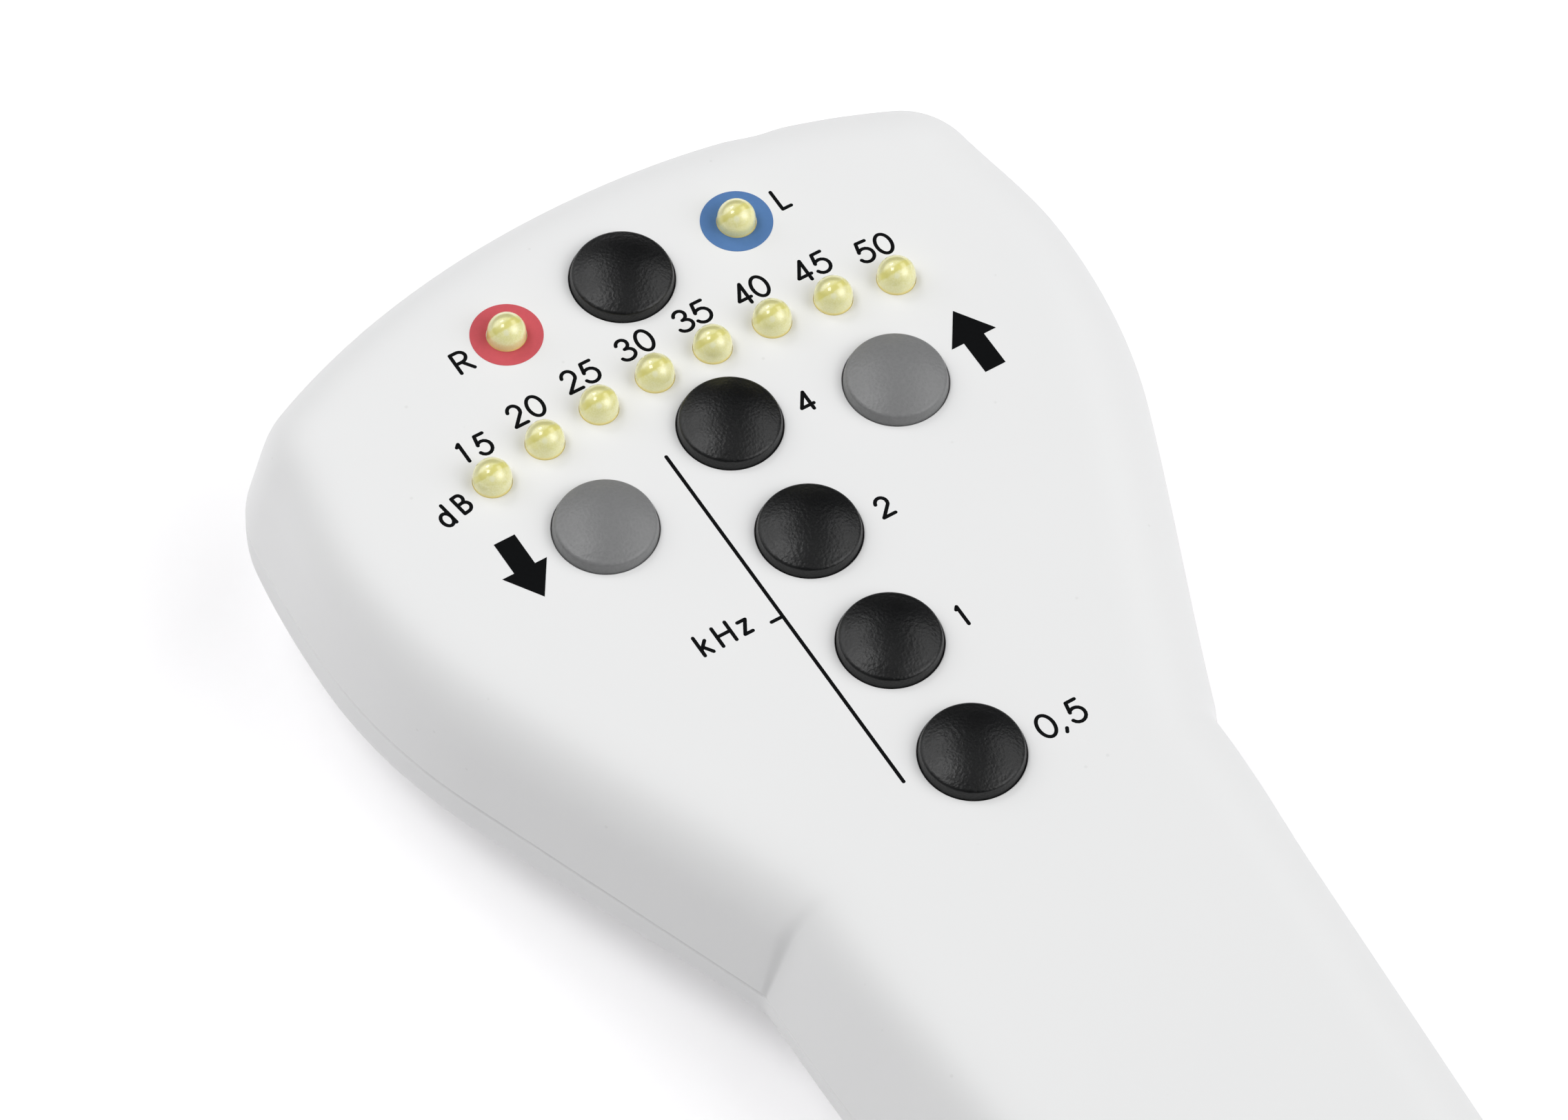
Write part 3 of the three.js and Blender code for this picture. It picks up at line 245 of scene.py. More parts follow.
def housing_outline():
    """Stations round the outline on the parting line: place, way inward and edge shape.
    An edge shape is the wall's slope in degrees, how far the rounding reaches down the wall, how full it is
    there, how far it reaches into the panel, how far the flat back stops short and the upright band
    under the parting line. Near the waist the sections lean down the handle."""
    head_end, head_corner = (14.3, 5.2, 0.73, 5.2, 8.2, 1.8), (11.6, 5.3, 0.73, 5.3, 7.4, 1.8)
    side, flank = (6, 4.5, 0.45, 4.9, 9, 1.8), (3.5, 4.9, 0.3, 5.9, 9.2, 0.7)
    waist, bend = (8.5, 4.6, 0.35, 5.8, 12, 0.2), (14, 3.9, 0.35, 4.9, 12, 0.2)
    grip, grip_end = (18, 3.4, 0.35, 4.1, 10.5, 0.2), (18, 3.2, 0.4, 4.0, 9.6, 0.2)
    handle_end = (19.3, 3.2, 0.7, 3.2, 8.5, 0.4)
    end_y, end_radius, corner_radius = 27.3, 65, 8
    half_width, widest_y, shoulder_radius, flank_radius = 32.8, 4, 80, 44
    waist_place, waist_radius = Vector((19.8, -37.0)), 2
    flare_place, blend_length = Vector((19.9, -45.5)), 6
    foot_y, foot_half, foot_radius, foot_corner = -132.7, 14.8, 45, 10

    end_centre = Vector((0, end_y - end_radius))
    shoulder_centre = Vector((half_width - shoulder_radius, widest_y))
    corner_centre = circles_meet(end_centre, end_radius - corner_radius,
                                 shoulder_centre, shoulder_radius - corner_radius)
    corner_start = end_centre + (corner_centre - end_centre).normalized() * end_radius
    corner_end = shoulder_centre + (corner_centre - shoulder_centre).normalized() * shoulder_radius
    widest = Vector((half_width, widest_y))
    flank_centre = Vector((half_width - flank_radius, widest_y))
    to_waist = waist_place - flank_centre
    angle = math.atan2(to_waist.y, to_waist.x) + math.acos(flank_radius / to_waist.length)
    flank_end = flank_centre + flank_radius * Vector((math.cos(angle), math.sin(angle)))
    flank_way = (waist_place - flank_end).normalized()
    flare_way = (flare_place - waist_place).normalized()
    grip_way = (Vector((foot_half, foot_y)) - flare_place).normalized()
    reach = waist_radius * math.tan(flank_way.angle(flare_way) / 2)
    waist_start, waist_end = waist_place - flank_way * reach, waist_place + flare_way * reach
    turn = math.copysign(1, flank_way.x * flare_way.y - flank_way.y * flare_way.x)
    waist_centre = waist_start + turn * waist_radius * Vector((-flank_way.y, flank_way.x))
    inside = Vector((grip_way.y, -grip_way.x))
    foot_centre = Vector((0, foot_y + foot_radius))
    offset_start = flare_place + inside * foot_corner
    to_foot = offset_start - foot_centre
    half_b = to_foot.dot(grip_way)
    along = -half_b + math.sqrt(half_b ** 2 - to_foot.length_squared + (foot_radius - foot_corner) ** 2)
    grip_corner = offset_start + grip_way * along
    grip_stop = grip_corner - inside * foot_corner
    corner_stop = foot_centre + (grip_corner - foot_centre).normalized() * foot_radius
    blend_stop = flare_place + grip_way * blend_length
    chain = [
        (arc_places(end_centre, Vector((0, end_y)), corner_start), head_end, head_corner, 0, 0),
        (arc_places(corner_centre, corner_start, corner_end), head_corner, head_corner, 0, 0),
        (arc_places(shoulder_centre, corner_end, widest), head_corner, side, 0, 0),
        (arc_places(flank_centre, widest, flank_end), side, flank, 0, 0),
        (line_places(flank_end, waist_start), flank, waist, 0, 0.22),
        (arc_places(waist_centre, waist_start, waist_end, turn_gap=4), waist, bend, 0.22, 0.12),
        (bend_places(waist_end, flare_place, blend_stop), bend, grip, 0.12, 0),
        (line_places(blend_stop, grip_stop, 2.0), grip, grip_end, 0, 0),
        (arc_places(grip_corner, grip_stop, corner_stop), grip_end, handle_end, 0, 0),
        (arc_places(foot_centre, corner_stop, Vector((0, foot_y))), handle_end, handle_end, 0, 0),
    ]
    half = []
    for places, before, after, lean_before, lean_after in chain:
        for i, (place, way) in enumerate(places):
            if i == 0 and half:
                continue
            share = i / (len(places) - 1)
            blend = share * share * (3 - 2 * share)
            edge = tuple(a + (b - a) * blend for a, b in zip(before, after))
            lean = lean_before + (lean_after - lean_before) * blend
            half.append((place, Vector((way.y, -way.x)) + way * lean, edge))
    half[0] = (Vector((0, end_y)), Vector((0, -1)), half[0][2])
    half[-1] = (Vector((0, foot_y)), Vector((0, 1)), half[-1][2])
    mirrored = [(Vector((-p.x, p.y)), Vector((-n.x, n.y)), e) for p, n, e in reversed(half[1:-1])]
    return half + mirrored


outline = housing_outline()


def wall_inset(edge, offset, depth):
    """How far in the side wall stands at a depth, for a skin that lies offset inside the outer one."""
    slope = math.radians(edge[0])
    return (parting_depth - depth) * math.tan(slope) + offset / math.cos(slope)


def soft_fillet(edge, offset, steps):
    """From the side wall up into the panel: an easy curve, or one that lies offset inside it."""
    slope, low_reach, low_pull, high_reach = math.radians(edge[0]), edge[1], edge[2], edge[3]
    high_pull = 0.73
    corner = Vector((parting_depth * math.tan(slope), 0))
    low = corner + low_reach * Vector((-math.sin(slope), math.cos(slope)))
    high = corner + high_reach * Vector((1, 0))
    a, b = low.lerp(corner, low_pull), high.lerp(corner, high_pull)
    curve = []
    for i in range(steps + 1):
        t = i / steps
        spot = (1 - t) ** 3 * low + 3 * (1 - t) ** 2 * t * a + 3 * (1 - t) * t * t * b + t ** 3 * high
        way = ((1 - t) ** 2 * (a - low) + 2 * (1 - t) * t * (b - a) + t * t * (high - b)).normalized()
        curve.append((spot.x - way.y * offset, spot.y + way.x * offset))
    return curve


def loft(name, section_at, inner_step=0.6):
    """Closed mesh through one section per station. Both end rings are repeated a little further in,
    towards the housing's middle line, so that the flat faces they bound keep level normals."""
    rings = []
    for place, inward, edge in outline:
        section = [(place + inward * inset, depth) for inset, depth in section_at(edge)]
        ends = []
        for spot, depth in (section[0], section[-1]):
            middle = Vector((0, min(max(spot.y, -118), 12)))
            ends.append((spot + (middle - spot).normalized() * inner_step, depth))
        section = [ends[0]] + section + [ends[1]]
        rings.append([row(spot.x, spot.y, depth) for spot, depth in section])
    count, levels = len(rings), len(rings[0])
    verts = [p for ring in rings for p in ring]
    faces = []
    for i in range(count):
        after = (i + 1) % count
        for k in range(levels - 1):
            faces.append((i * levels + k, after * levels + k, after * levels + k + 1, i * levels + k + 1))
    faces.append([i * levels for i in reversed(range(count))])
    faces.append([i * levels + levels - 1 for i in range(count)])
    mesh = bpy.data.meshes.new(name)
    mesh.from_pydata(verts, [], faces)
    return outward(mesh)


def outward(mesh):
    """Turns a closed mesh's faces to point out of it, by the sign of its volume."""
    volume = 0.0
    mesh.calc_loop_triangles()
    for triangle in mesh.loop_triangles:
        a, b, c = (mesh.vertices[i].co for i in triangle.vertices)
        volume += a.dot(b.cross(c))
    if volume < 0:
        mesh.flip_normals()
    return mesh


def prism(name, ring, far_ring):
    """Closed mesh between two rings of the same number of corners."""
    count = len(ring)
    mesh = bpy.data.meshes.new(name)
    mesh.from_pydata(
        ring + far_ring, [],
        [list(range(count))[::-1], list(range(count, 2 * count))]
        + [(i, (i + 1) % count, count + (i + 1) % count, count + i) for i in range(count)])
    return outward(mesh)


def show(name, mesh):
    piece = bpy.data.objects.new(name, mesh)
    bpy.context.scene.collection.objects.link(piece)
    return piece


def settle(piece):
    """Turns what the modifiers make into the piece's own plain mesh."""
    graph = bpy.context.evaluated_depsgraph_get()
    mesh = bpy.data.meshes.new_from_object(piece.evaluated_get(graph))
    piece.modifiers.clear()
    piece.data = mesh
    return piece


def carve(blank, *steps):
    """Cuts, joins or trims a closed blank with other closed pieces, which are used up."""
    for operation, tool in steps:
        step = blank.modifiers.new("carve", "BOOLEAN")
        step.operation = operation
        step.solver = "MANIFOLD"
        step.object = tool
    settle(blank)
    for _, tool in steps:
        bpy.data.objects.remove(tool)
    return blank


def dress(piece, material, sharp=32):
    """Gives a finished mesh its one material and smooth shading with crisp edges past an angle."""
    piece.data.materials.clear()
    piece.data.materials.append(material)
    piece.data.polygons.foreach_set("material_index", [0] * len(piece.data.polygons))
    piece.data.shade_smooth()
    piece.data.set_sharp_from_angle(angle=math.radians(sharp))
    return piece


def new_tree(name, **inputs):
    """An empty geometry tree with named inputs, and the sockets that give their values inside it."""
    tree = bpy.data.node_groups.new(name, "GeometryNodeTree")
    for label, kind in inputs.items():
        tree.interface.new_socket(label, in_out="INPUT", socket_type="NodeSocket" + kind)
    tree.interface.new_socket("Geometry", in_out="OUTPUT", socket_type="NodeSocketGeometry")
    return tree, tree.nodes.new("NodeGroupInput").outputs


def add(tree, kind, settings, inputs, output=0):
    """Adds a node to a geometry tree: its settings, then the values or sockets that it takes."""
    made = tree.nodes.new(kind)
    for name, value in settings.items():
        setattr(made, name, value)
    for name, value in inputs.items():
        if isinstance(value, bpy.types.NodeSocket):
            tree.links.new(value, made.inputs[name])
        else:
            made.inputs[name].default_value = value
    return made.outputs[output] if made.outputs else None


hoop_radius = 0.001


def add_lathe(tree, profile, segments):
    """A profile swept round its axis."""
    taken = add(tree, "GeometryNodeObjectInfo", {"transform_space": "ORIGINAL"}, {"Object": profile}, "Geometry")
    half_section = add(tree, "GeometryNodeMeshToCurve", {}, {"Mesh": taken})
    hoop = add(tree, "GeometryNodeCurvePrimitiveCircle", {}, {"Resolution": segments, "Radius": hoop_radius})
    swept = add(tree, "GeometryNodeCurveToMesh", {}, {"Curve": hoop, "Profile Curve": half_section})
    return add(tree, "GeometryNodeMergeByDistance", {}, {"Geometry": swept, "Distance": 1e-6})


def add_copies(tree, places, piece, turn):
    """One copy of a piece at each place."""
    copies = add(tree, "GeometryNodeInstanceOnPoints", {}, {"Points": places, "Instance": piece, "Rotation": turn})
    return add(tree, "GeometryNodeRealizeInstances", {}, {"Geometry": copies})


def add_end(tree, geometry, material):
    painted = add(tree, "GeometryNodeSetMaterial", {}, {"Geometry": geometry, "Material": material})
    add(tree, "NodeGroupOutput", {}, {"Geometry": painted})


# Turned pieces: a profile swept round its axis and set at each place
turning, given = new_tree("turned_pieces", Places="Geometry", Profile="Object", Segments="Int", Tilt="Vector",
                          Material="Material")
lathe = add_lathe(turning, given["Profile"], given["Segments"])
add_end(turning, add_copies(turning, given["Places"], lathe, given["Tilt"]), given["Material"])


def grown(name, mesh, tree, **values):
    """The piece that a geometry tree makes from points or lines, as one plain mesh."""
    piece = show(name, mesh)
    step = piece.modifiers.new(tree.name, "NODES")
    step.node_group = tree
    for item in tree.interface.items_tree:
        if item.name in values:
            step[item.identifier] = values[item.name]
    return settle(piece)


def grown_at(name, places, profile, tree, **values):
    """Such a piece from places and a profile: radius and height in millimetres, from the top down."""
    outline = bpy.data.meshes.new("profile")
    outline.from_pydata([(radius / 1000 - hoop_radius, -height / 1000, 0) for radius, height in profile],
                        [(i, i + 1) for i in range(len(profile) - 1)], [])
    holder = show("profile", outline)
    spots = bpy.data.meshes.new(name)
    spots.from_pydata([row(*place) for place in places], [], [])
    piece = grown(name, spots, tree, Profile=holder, **values)
    bpy.data.objects.remove(holder)
    return piece


def turned(name, profile, places, segments=48, tilt=(0, 0, 0), material=None):
    """The same turned piece at each place. The tilt is in degrees."""
    piece = grown_at(name, places, profile, turning, Segments=segments, Tilt=[math.radians(a) for a in tilt],
                     Material=material)
    outward(piece.data)
    return piece


def pin(name, radius, top, bottom, places, segments=48, tilt=(0, 0, 0), chamfer=0.0):
    """Plain round tools: top and bottom are heights from each place, the top rim may be widened by a chamfer."""
    profile = [(0, top), (radius + chamfer, top)] if chamfer == 0 else [
        (0, top), (radius + chamfer + top, top), (radius, -chamfer)]
    return turned(name, profile + [(radius, bottom), (0, bottom)], places, segments, tilt)


frequency_places = [(0.0, -10.95 * i) for i in range(4)]
ear_select_place = (0.0, 15.2)
level_places = [(12.54, -3.02), (-12.54, -3.02)]
cap_places = frequency_places + [ear_select_place] + level_places
lamp_places = [(x, 6.5 - x * x / 172) for x in (-17.5, -12.5, -7.5, -2.5, 2.5, 7.5, 12.5, 17.5)]
ear_lamp_places = [(-10.0, 15.2), (10.0, 15.2)]
head_screw_places = [(23.5, 12.5), (-23.5, 12.5), (13.5, -31.0), (-13.5, -31.0)]
board_screw_places = [(-19.5, 17.0), (-20.0, -14.0), (20.0, -14.0)]
handle_screw_place = (0.0, -104.0)
socket_x, socket_depth = 16.0, 5.2
recess_floor = (socket_x, 21.8, socket_depth)
rim_round = 0.14
core_offset = 0.5


def front_section(edge):
    """The skin from the panel to the parting line, the rebate for the lower shell's lip and the inner side."""
    rebate_inset, rebate_depth = 1.05, 9.6
    outer = [(wall_inset(edge, 0, parting_depth - rim_round), parting_depth - rim_round),
             (wall_inset(edge, 0, parting_depth) + rim_round, parting_depth)]
    rebate = [(wall_inset(edge, rebate_inset, parting_depth), parting_depth),
              (wall_inset(edge, rebate_inset, rebate_depth), rebate_depth)]
    inner = [(wall_inset(edge, wall, rebate_depth), rebate_depth)] + soft_fillet(edge, wall, 6)
    return soft_fillet(edge, 0, 14)[::-1] + outer + rebate + inner


def front_core(edge):
    return soft_fillet(edge, core_offset, 6)[::-1] + [(wall_inset(edge, core_offset, parting_depth), parting_depth)]


def trim(piece, core):
    """Cuts off what stands out of the core, which lies a little inside the outer skin."""
    return carve(piece, ("INTERSECT", show("core", loft("core", core))))


hole_rim = 0.04
socket_boss = trim(pin("socket_boss", 4.6, 6.0, -2.0, [recess_floor], 48, (-90, 0, 0)), front_core)
upper_shell = show("upper_shell_moulding", loft("upper_shell_moulding", front_section))
carve(
    upper_shell,
    ("UNION", socket_boss),
    ("UNION", pin("screw_posts", 3.0, -1.0, -10.5, head_screw_places, 32)),
    ("UNION", pin("board_posts", 2.4, -1.0, -7.45, board_screw_places, 32)),
    ("UNION", pin("handle_post", 3.0, -1.0, -14.4, [handle_screw_place], 32)),
    ("DIFFERENCE", pin("cap_holes", 4.0, 1.0, -5.0, cap_places, 96, chamfer=hole_rim)),
    ("DIFFERENCE", pin("lamp_holes", 1.49, 1.0, -5.0, lamp_places + ear_lamp_places, 48, chamfer=0.02)),
    ("DIFFERENCE", pin("socket_recess", 3.9, 9.0, 0.0, [recess_floor], 72, (-90, 0, 0))),
    ("DIFFERENCE", pin("socket_hole", 3.2, 1.0, -5.0, [recess_floor], 48, (-90, 0, 0))),
)

off_white, start = emptied(bpy.data.materials.new("off_white_abs"))
place = start.node("ShaderNodeTexCoord", {}, {}, "Object")
spark = start.noise(7500.0, 2.0)
speck = start.node("ShaderNodeTexVoronoi", {"feature": "F1"}, {"Vector": place, "Scale": 260.0}, "Distance")
dust = 1 - speck.clamped(0.018, 0.045)
plain = start.noise(45.0, 2.0).mixed((0.838, 0.842, 0.844, 1), (0.856, 0.858, 0.858, 1))
start.surface({
    "Base Color": (dust * 0.25).mixed(plain, (0.6, 0.6, 0.59, 1)), "Roughness": 0.42 + spark * 0.14,
    "Normal": spark.bump(0.25, 4e-6), "IOR": 1.5, "Specular IOR Level": 0.4})

dress(upper_shell, off_white)
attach(upper_shell, "housing")
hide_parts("upper_shell")

# Marks on the panel
# One-colour screen print in black, and a red and a blue ring round the ear lamps. The ink stands
# a few hundredths of a millimetre proud and its lines have round ends.
stroke_width = 0.29
ink_height, ink_root = 0.022, 0.01
ring_inside, ring_outside = 1.53, 2.75

stroking, given = new_tree("round_strokes", Lines="Geometry", Width="Float", Flatness="Vector", Lift="Vector",
                           Material="Material")
lines = add(stroking, "GeometryNodeMeshToCurve", {}, {"Mesh": given["Lines"]})
half = add(stroking, "ShaderNodeMath", {"operation": "MULTIPLY"}, {0: given["Width"], 1: 0.5})
nib = add(stroking, "GeometryNodeCurvePrimitiveCircle", {}, {"Resolution": 10, "Radius": half})
drawn = add(stroking, "GeometryNodeCurveToMesh", {}, {"Curve": lines, "Profile Curve": nib, "Fill Caps": True})
ball = add(stroking, "GeometryNodeMeshUVSphere", {}, {"Segments": 14, "Rings": 6, "Radius": half})
tips = add(stroking, "GeometryNodeCurveEndpointSelection", {}, {})
ends = add(stroking, "GeometryNodeInstanceOnPoints", {}, {"Points": lines, "Selection": tips, "Instance": ball})
both = add(stroking, "GeometryNodeJoinGeometry", {}, {"Geometry": drawn})
stroking.links.new(ends, both.node.inputs["Geometry"])
solid = add(stroking, "GeometryNodeRealizeInstances", {}, {"Geometry": both})
pressed = add(stroking, "GeometryNodeTransform", {}, {
    "Geometry": solid, "Scale": given["Flatness"], "Translation": given["Lift"]})
add_end(stroking, pressed, given["Material"])


def bow(x, y, radius_x, radius_y, start, end, steps=14):
    """Part of an ellipse, by angles in degrees."""
    angles = [math.radians(start + (end - start) * i / steps) for i in range(steps + 1)]
    return [(x + radius_x * math.cos(a), y + radius_y * math.sin(a)) for a in angles]


# Each sign as strokes in a box one wide and one high
signs = {
    "0": [bow(0.5, 0.5, 0.5, 0.5, 0, 180, 18), bow(0.5, 0.5, 0.5, 0.5, 180, 360, 18)],
    "1": [[(0.0, 0.87), (1.0, 1.0)], [(1.0, 1.0), (1.0, 0.0)]],
    "2": [bow(0.5, 0.70, 0.46, 0.30, 168, -32) + [(0.0, 0.0)], [(0.0, 0.0), (1.0, 0.0)]],
    "3": [bow(0.47, 0.765, 0.40, 0.235, 165, -90), bow(0.47, 0.265, 0.53, 0.265, 90, -160)],
    "4": [[(0.78, 1.0), (0.0, 0.26)], [(0.0, 0.26), (1.0, 0.26)], [(0.78, 1.0), (0.78, 0.0)]],
    "5": [[(0.90, 1.0), (0.24, 1.0)], [(0.24, 1.0), (0.10, 0.54)], bow(0.46, 0.335, 0.54, 0.335, 132, -155)],
    "R": [[(0.0, 0.0), (0.0, 1.0)],
          [(0.0, 1.0), (0.45, 1.0)] + bow(0.45, 0.74, 0.47, 0.26, 80, -90) + [(0.0, 0.48)],
          [(0.45, 0.48), (1.0, 0.0)]],
    "L": [[(0.0, 1.0), (0.0, 0.0)], [(0.0, 0.0), (1.0, 0.0)]],
    "B": [[(0.0, 0.0), (0.0, 1.0)],
          [(0.0, 1.0), (0.45, 1.0)] + bow(0.45, 0.765, 0.42, 0.235, 80, -90) + [(0.0, 0.53)],
          [(0.45, 0.53)] + bow(0.45, 0.265, 0.55, 0.265, 80, -90) + [(0.0, 0.0)]],
    "d": [bow(0.45, 0.32, 0.45, 0.32, 0, 180, 16), bow(0.45, 0.32, 0.45, 0.32, 180, 360, 16),
          [(0.9, 1.0), (0.9, 0.0)]],
    "k": [[(0.0, 0.0), (0.0, 1.0)], [(0.85, 0.66), (0.0, 0.28)], [(0.30, 0.42), (1.0, 0.0)]],
    "H": [[(0.0, 0.0), (0.0, 1.0)], [(1.0, 0.0), (1.0, 1.0)], [(0.0, 0.52), (1.0, 0.52)]],
    "z": [[(0.0, 1.0), (1.0, 1.0)], [(1.0, 1.0), (0.0, 0.0)], [(0.0, 0.0), (1.0, 0.0)]],
    ",": [[(1.0, 1.0), (0.0, 0.0)]],
}
# Sign, left and right edge, top and bottom edge of its ink, turn of the label
labels = [
    ("1", -18.39, -17.88, 8.91, 6.93, 0), ("5", -17.07, -15.76, 8.89, 6.79, 0),
    ("2", -13.71, -12.40, 9.80, 7.70, 0), ("0", -12.14, -10.69, 9.80, 7.70, 0),
    ("2", -8.74, -7.36, 10.36, 8.21, 0), ("5", -7.11, -5.69, 10.36, 8.21, 0),
    ("3", -3.83, -2.43, 10.69, 8.53, 0), ("0", -2.21, -0.76, 10.69, 8.53, 0),
    ("3", 1.17, 2.60, 10.71, 8.54, 0), ("5", 2.74, 4.21, 10.71, 8.54, 0),
    ("4", 6.24, 7.54, 10.43, 8.29, 0), ("0", 7.67, 9.14, 10.43, 8.29, 0),
    ("4", 11.14, 12.50, 9.90, 7.76, 0), ("5", 12.76, 14.17, 9.90, 7.76, 0),
    ("5", 16.10, 17.50, 9.04, 6.90, -3), ("0", 17.67, 19.14, 8.93, 6.83, -3),
    ("R", -14.71, -13.29, 15.93, 13.86, 0), ("L", 13.47, 14.50, 16.33, 14.26, 0),
    ("B", -20.93, -19.83, 5.12, 3.22, 9), ("d", -22.65, -21.45, 4.90, 2.80, 9),
    ("4", 5.15, 6.47, -0.15, -2.09, 0), ("2", 5.20, 6.48, -10.90, -12.86, 0),
    ("1", 5.41, 5.87, -21.72, -23.69, 0),
    ("0", 5.00, 6.53, -32.60, -34.80, 0), (",", 6.68, 7.12, -34.45, -35.02, 0),
    ("5", 7.59, 9.00, -32.66, -34.81, 0),
    ("k", -12.22, -11.20, -14.19, -16.19, 0), ("H", -10.66, -9.25, -14.19, -16.19, 0),
    ("z", -8.78, -7.84, -14.73, -16.14, 0),
]
strokes = [[(-5.5, 0.0), (-5.5, -32.33)], [(-6.46, -16.09), (-5.5, -16.09)]]
for sign, left, right, top, bottom, turn in labels:
    inset = stroke_width / 2
    middle = Vector(((left + right) / 2, (top + bottom) / 2))
    spin = Matrix.Rotation(math.radians(turn), 2)
    for stroke in signs[sign]:
        points = [Vector((left + inset + (right - left - stroke_width) * x,
                          bottom + inset + (top - bottom - stroke_width) * y)) for x, y in stroke]
        strokes.append([tuple(middle + spin @ (p - middle)) for p in points])
verts, edges = [], []
for stroke in strokes:
    edges += [(len(verts) + i, len(verts) + i + 1) for i in range(len(stroke) - 1)]
    verts += [(x / 1000, (y + row_shift) / 1000, 0) for x, y in stroke]
drawing = bpy.data.meshes.new("panel_signs")
drawing.from_pydata(verts, edges, [])

ink, start = emptied(bpy.data.materials.new("black_ink"))
mottle = start.noise(4000.0, 2.0)
start.surface({"Base Color": mottle.mixed((0.0035, 0.0038, 0.0042, 1), (0.006, 0.0064, 0.007, 1)),
               "Roughness": 0.6 + mottle * 0.2, "Specular IOR Level": 0.04})

panel_signs = grown("panel_signs", drawing, stroking, Width=stroke_width / 1000, Material=ink,
                    Flatness=[1, 1, ink_height * 2 / stroke_width], Lift=[0, 0, panel_height / 1000])
dress(panel_signs, ink, 60)
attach(panel_signs, "housing")

for name, tip, wide, neck, centre_x, base, tail in [
    ("up_arrow", 0.09, 1.94, 0.88, 19.55, -2.79, -5.74),
    ("down_arrow", -5.79, 1.88, 0.88, -19.38, -2.97, -0.09),
]:
    corners = [(0, tip), (-wide, base), (-neck, base), (-neck, tail), (neck, tail), (neck, base), (wide, base)]
    root, face = ([row(centre_x + x, y, depth) for x, y in corners] for depth in (ink_root, -ink_height))
    arrow = show(name, prism(name, root, face))
    dress(arrow, ink)
    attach(arrow, "housing")

for name, ring_place, ring_colour in [
    ("right_ear_ring", (-9.97, 15.26), (0.60, 0.093, 0.112)),
    ("left_ear_ring", (10.05, 15.24), (0.087, 0.198, 0.434)),
]:
    ring_ink, start = emptied(bpy.data.materials.new(name + "_ink"))
    mottle = start.noise(3000.0, 3.0)
    thin, full = (tuple(part * share for part in ring_colour) + (1,) for share in (0.94, 1.06))
    start.surface({"Base Color": mottle.mixed(thin, full), "Roughness": 0.45 + mottle * 0.15,
                   "Specular IOR Level": 0.25})
    ring = turned(name, [(ring_inside, ink_height), (ring_outside, ink_height), (ring_outside, -ink_root),
                         (ring_inside, -ink_root), (ring_inside, ink_height)], [ring_place], 72)
    dress(ring, ring_ink)
    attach(ring, "housing")

# Push-button caps
# Seven loose moulded caps, black for the tones and the ear and grey for the level, each with a
# flange that holds it under the panel and a post that stands on its switch. The crown is grained.
cap_radius, cap_top_radius = 3.94, 3.8
cap_side_height, cap_round, cap_crown, crown_power = 0.92, 0.32, 0.76, 2.1
rim_radius = cap_top_radius - cap_round
cap_profile = [(rim_radius * i / 16, cap_side_height + cap_crown * (1 - (i / 16) ** crown_power)) for i in range(17)]
rim_slope = math.atan(crown_power * cap_crown / rim_radius)
for i in range(1, 8):
    angle = rim_slope + (math.radians(87) - rim_slope) * i / 7
    way_out = (math.sin(angle) - math.sin(rim_slope)) / (1 - math.sin(rim_slope))
    way_down = math.cos(rim_slope) - math.cos(angle)
    cap_profile.append((rim_radius + cap_round * way_out, cap_side_height - cap_round * way_down))
cap_profile += [
    (cap_radius - 0.03, 0.1), (cap_radius, 0.0), (cap_radius, -2.3), (4.6, -2.3), (4.6, -3.1), (3.4, -3.1),
    (3.4, -0.6), (1.5, -0.6), (1.5, -3.2), (0.0, -3.2)]


def grained_plastic(name, dark, pale, rough, shine):
    """Moulded plastic with the fine leathery grain of an etched mould."""
    material, start = emptied(bpy.data.materials.new(name))
    place = start.node("ShaderNodeTexCoord", {}, {}, "Object")
    leather = start.node("ShaderNodeTexVoronoi", {"feature": "SMOOTH_F1"}, {
        "Vector": place, "Scale": 4200.0, "Smoothness": 0.6, "Randomness": 1.0}, "Distance")
    fine = start.noise(9000.0, 3.0)
    relief = leather * 0.7 + fine * 0.5
    start.surface({"Base Color": relief.mixed(dark, pale), "Roughness": rough + fine * 0.12,
                   "Normal": relief.bump(0.9, 3e-5), "Specular IOR Level": shine})
    return material


black_cap = grained_plastic("black_grained_plastic", (0.002, 0.0022, 0.0025, 1), (0.004, 0.0043, 0.0048, 1),
                            0.30, 0.39)
grey_cap = grained_plastic("grey_grained_plastic", (0.178, 0.180, 0.182, 1), (0.212, 0.214, 0.216, 1), 0.32, 0.45)
black_bodies = ["frequency_4", "frequency_2", "frequency_1", "frequency_half", "ear_select"]
grey_bodies = ["level_up", "level_down"]
caps = [(body, cap_place, black_cap, "black_cap") for body, cap_place in zip(black_bodies, cap_places)]
caps += [(body, cap_place, grey_cap, "grey_cap") for body, cap_place in zip(grey_bodies, level_places)]
for body, cap_place, material, slot_name in caps:
    cap = turned(body + "_cap", cap_profile, [cap_place], 96, material=material)
    dress(cap, material)
    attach(cap, body)
    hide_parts(body + "_button")

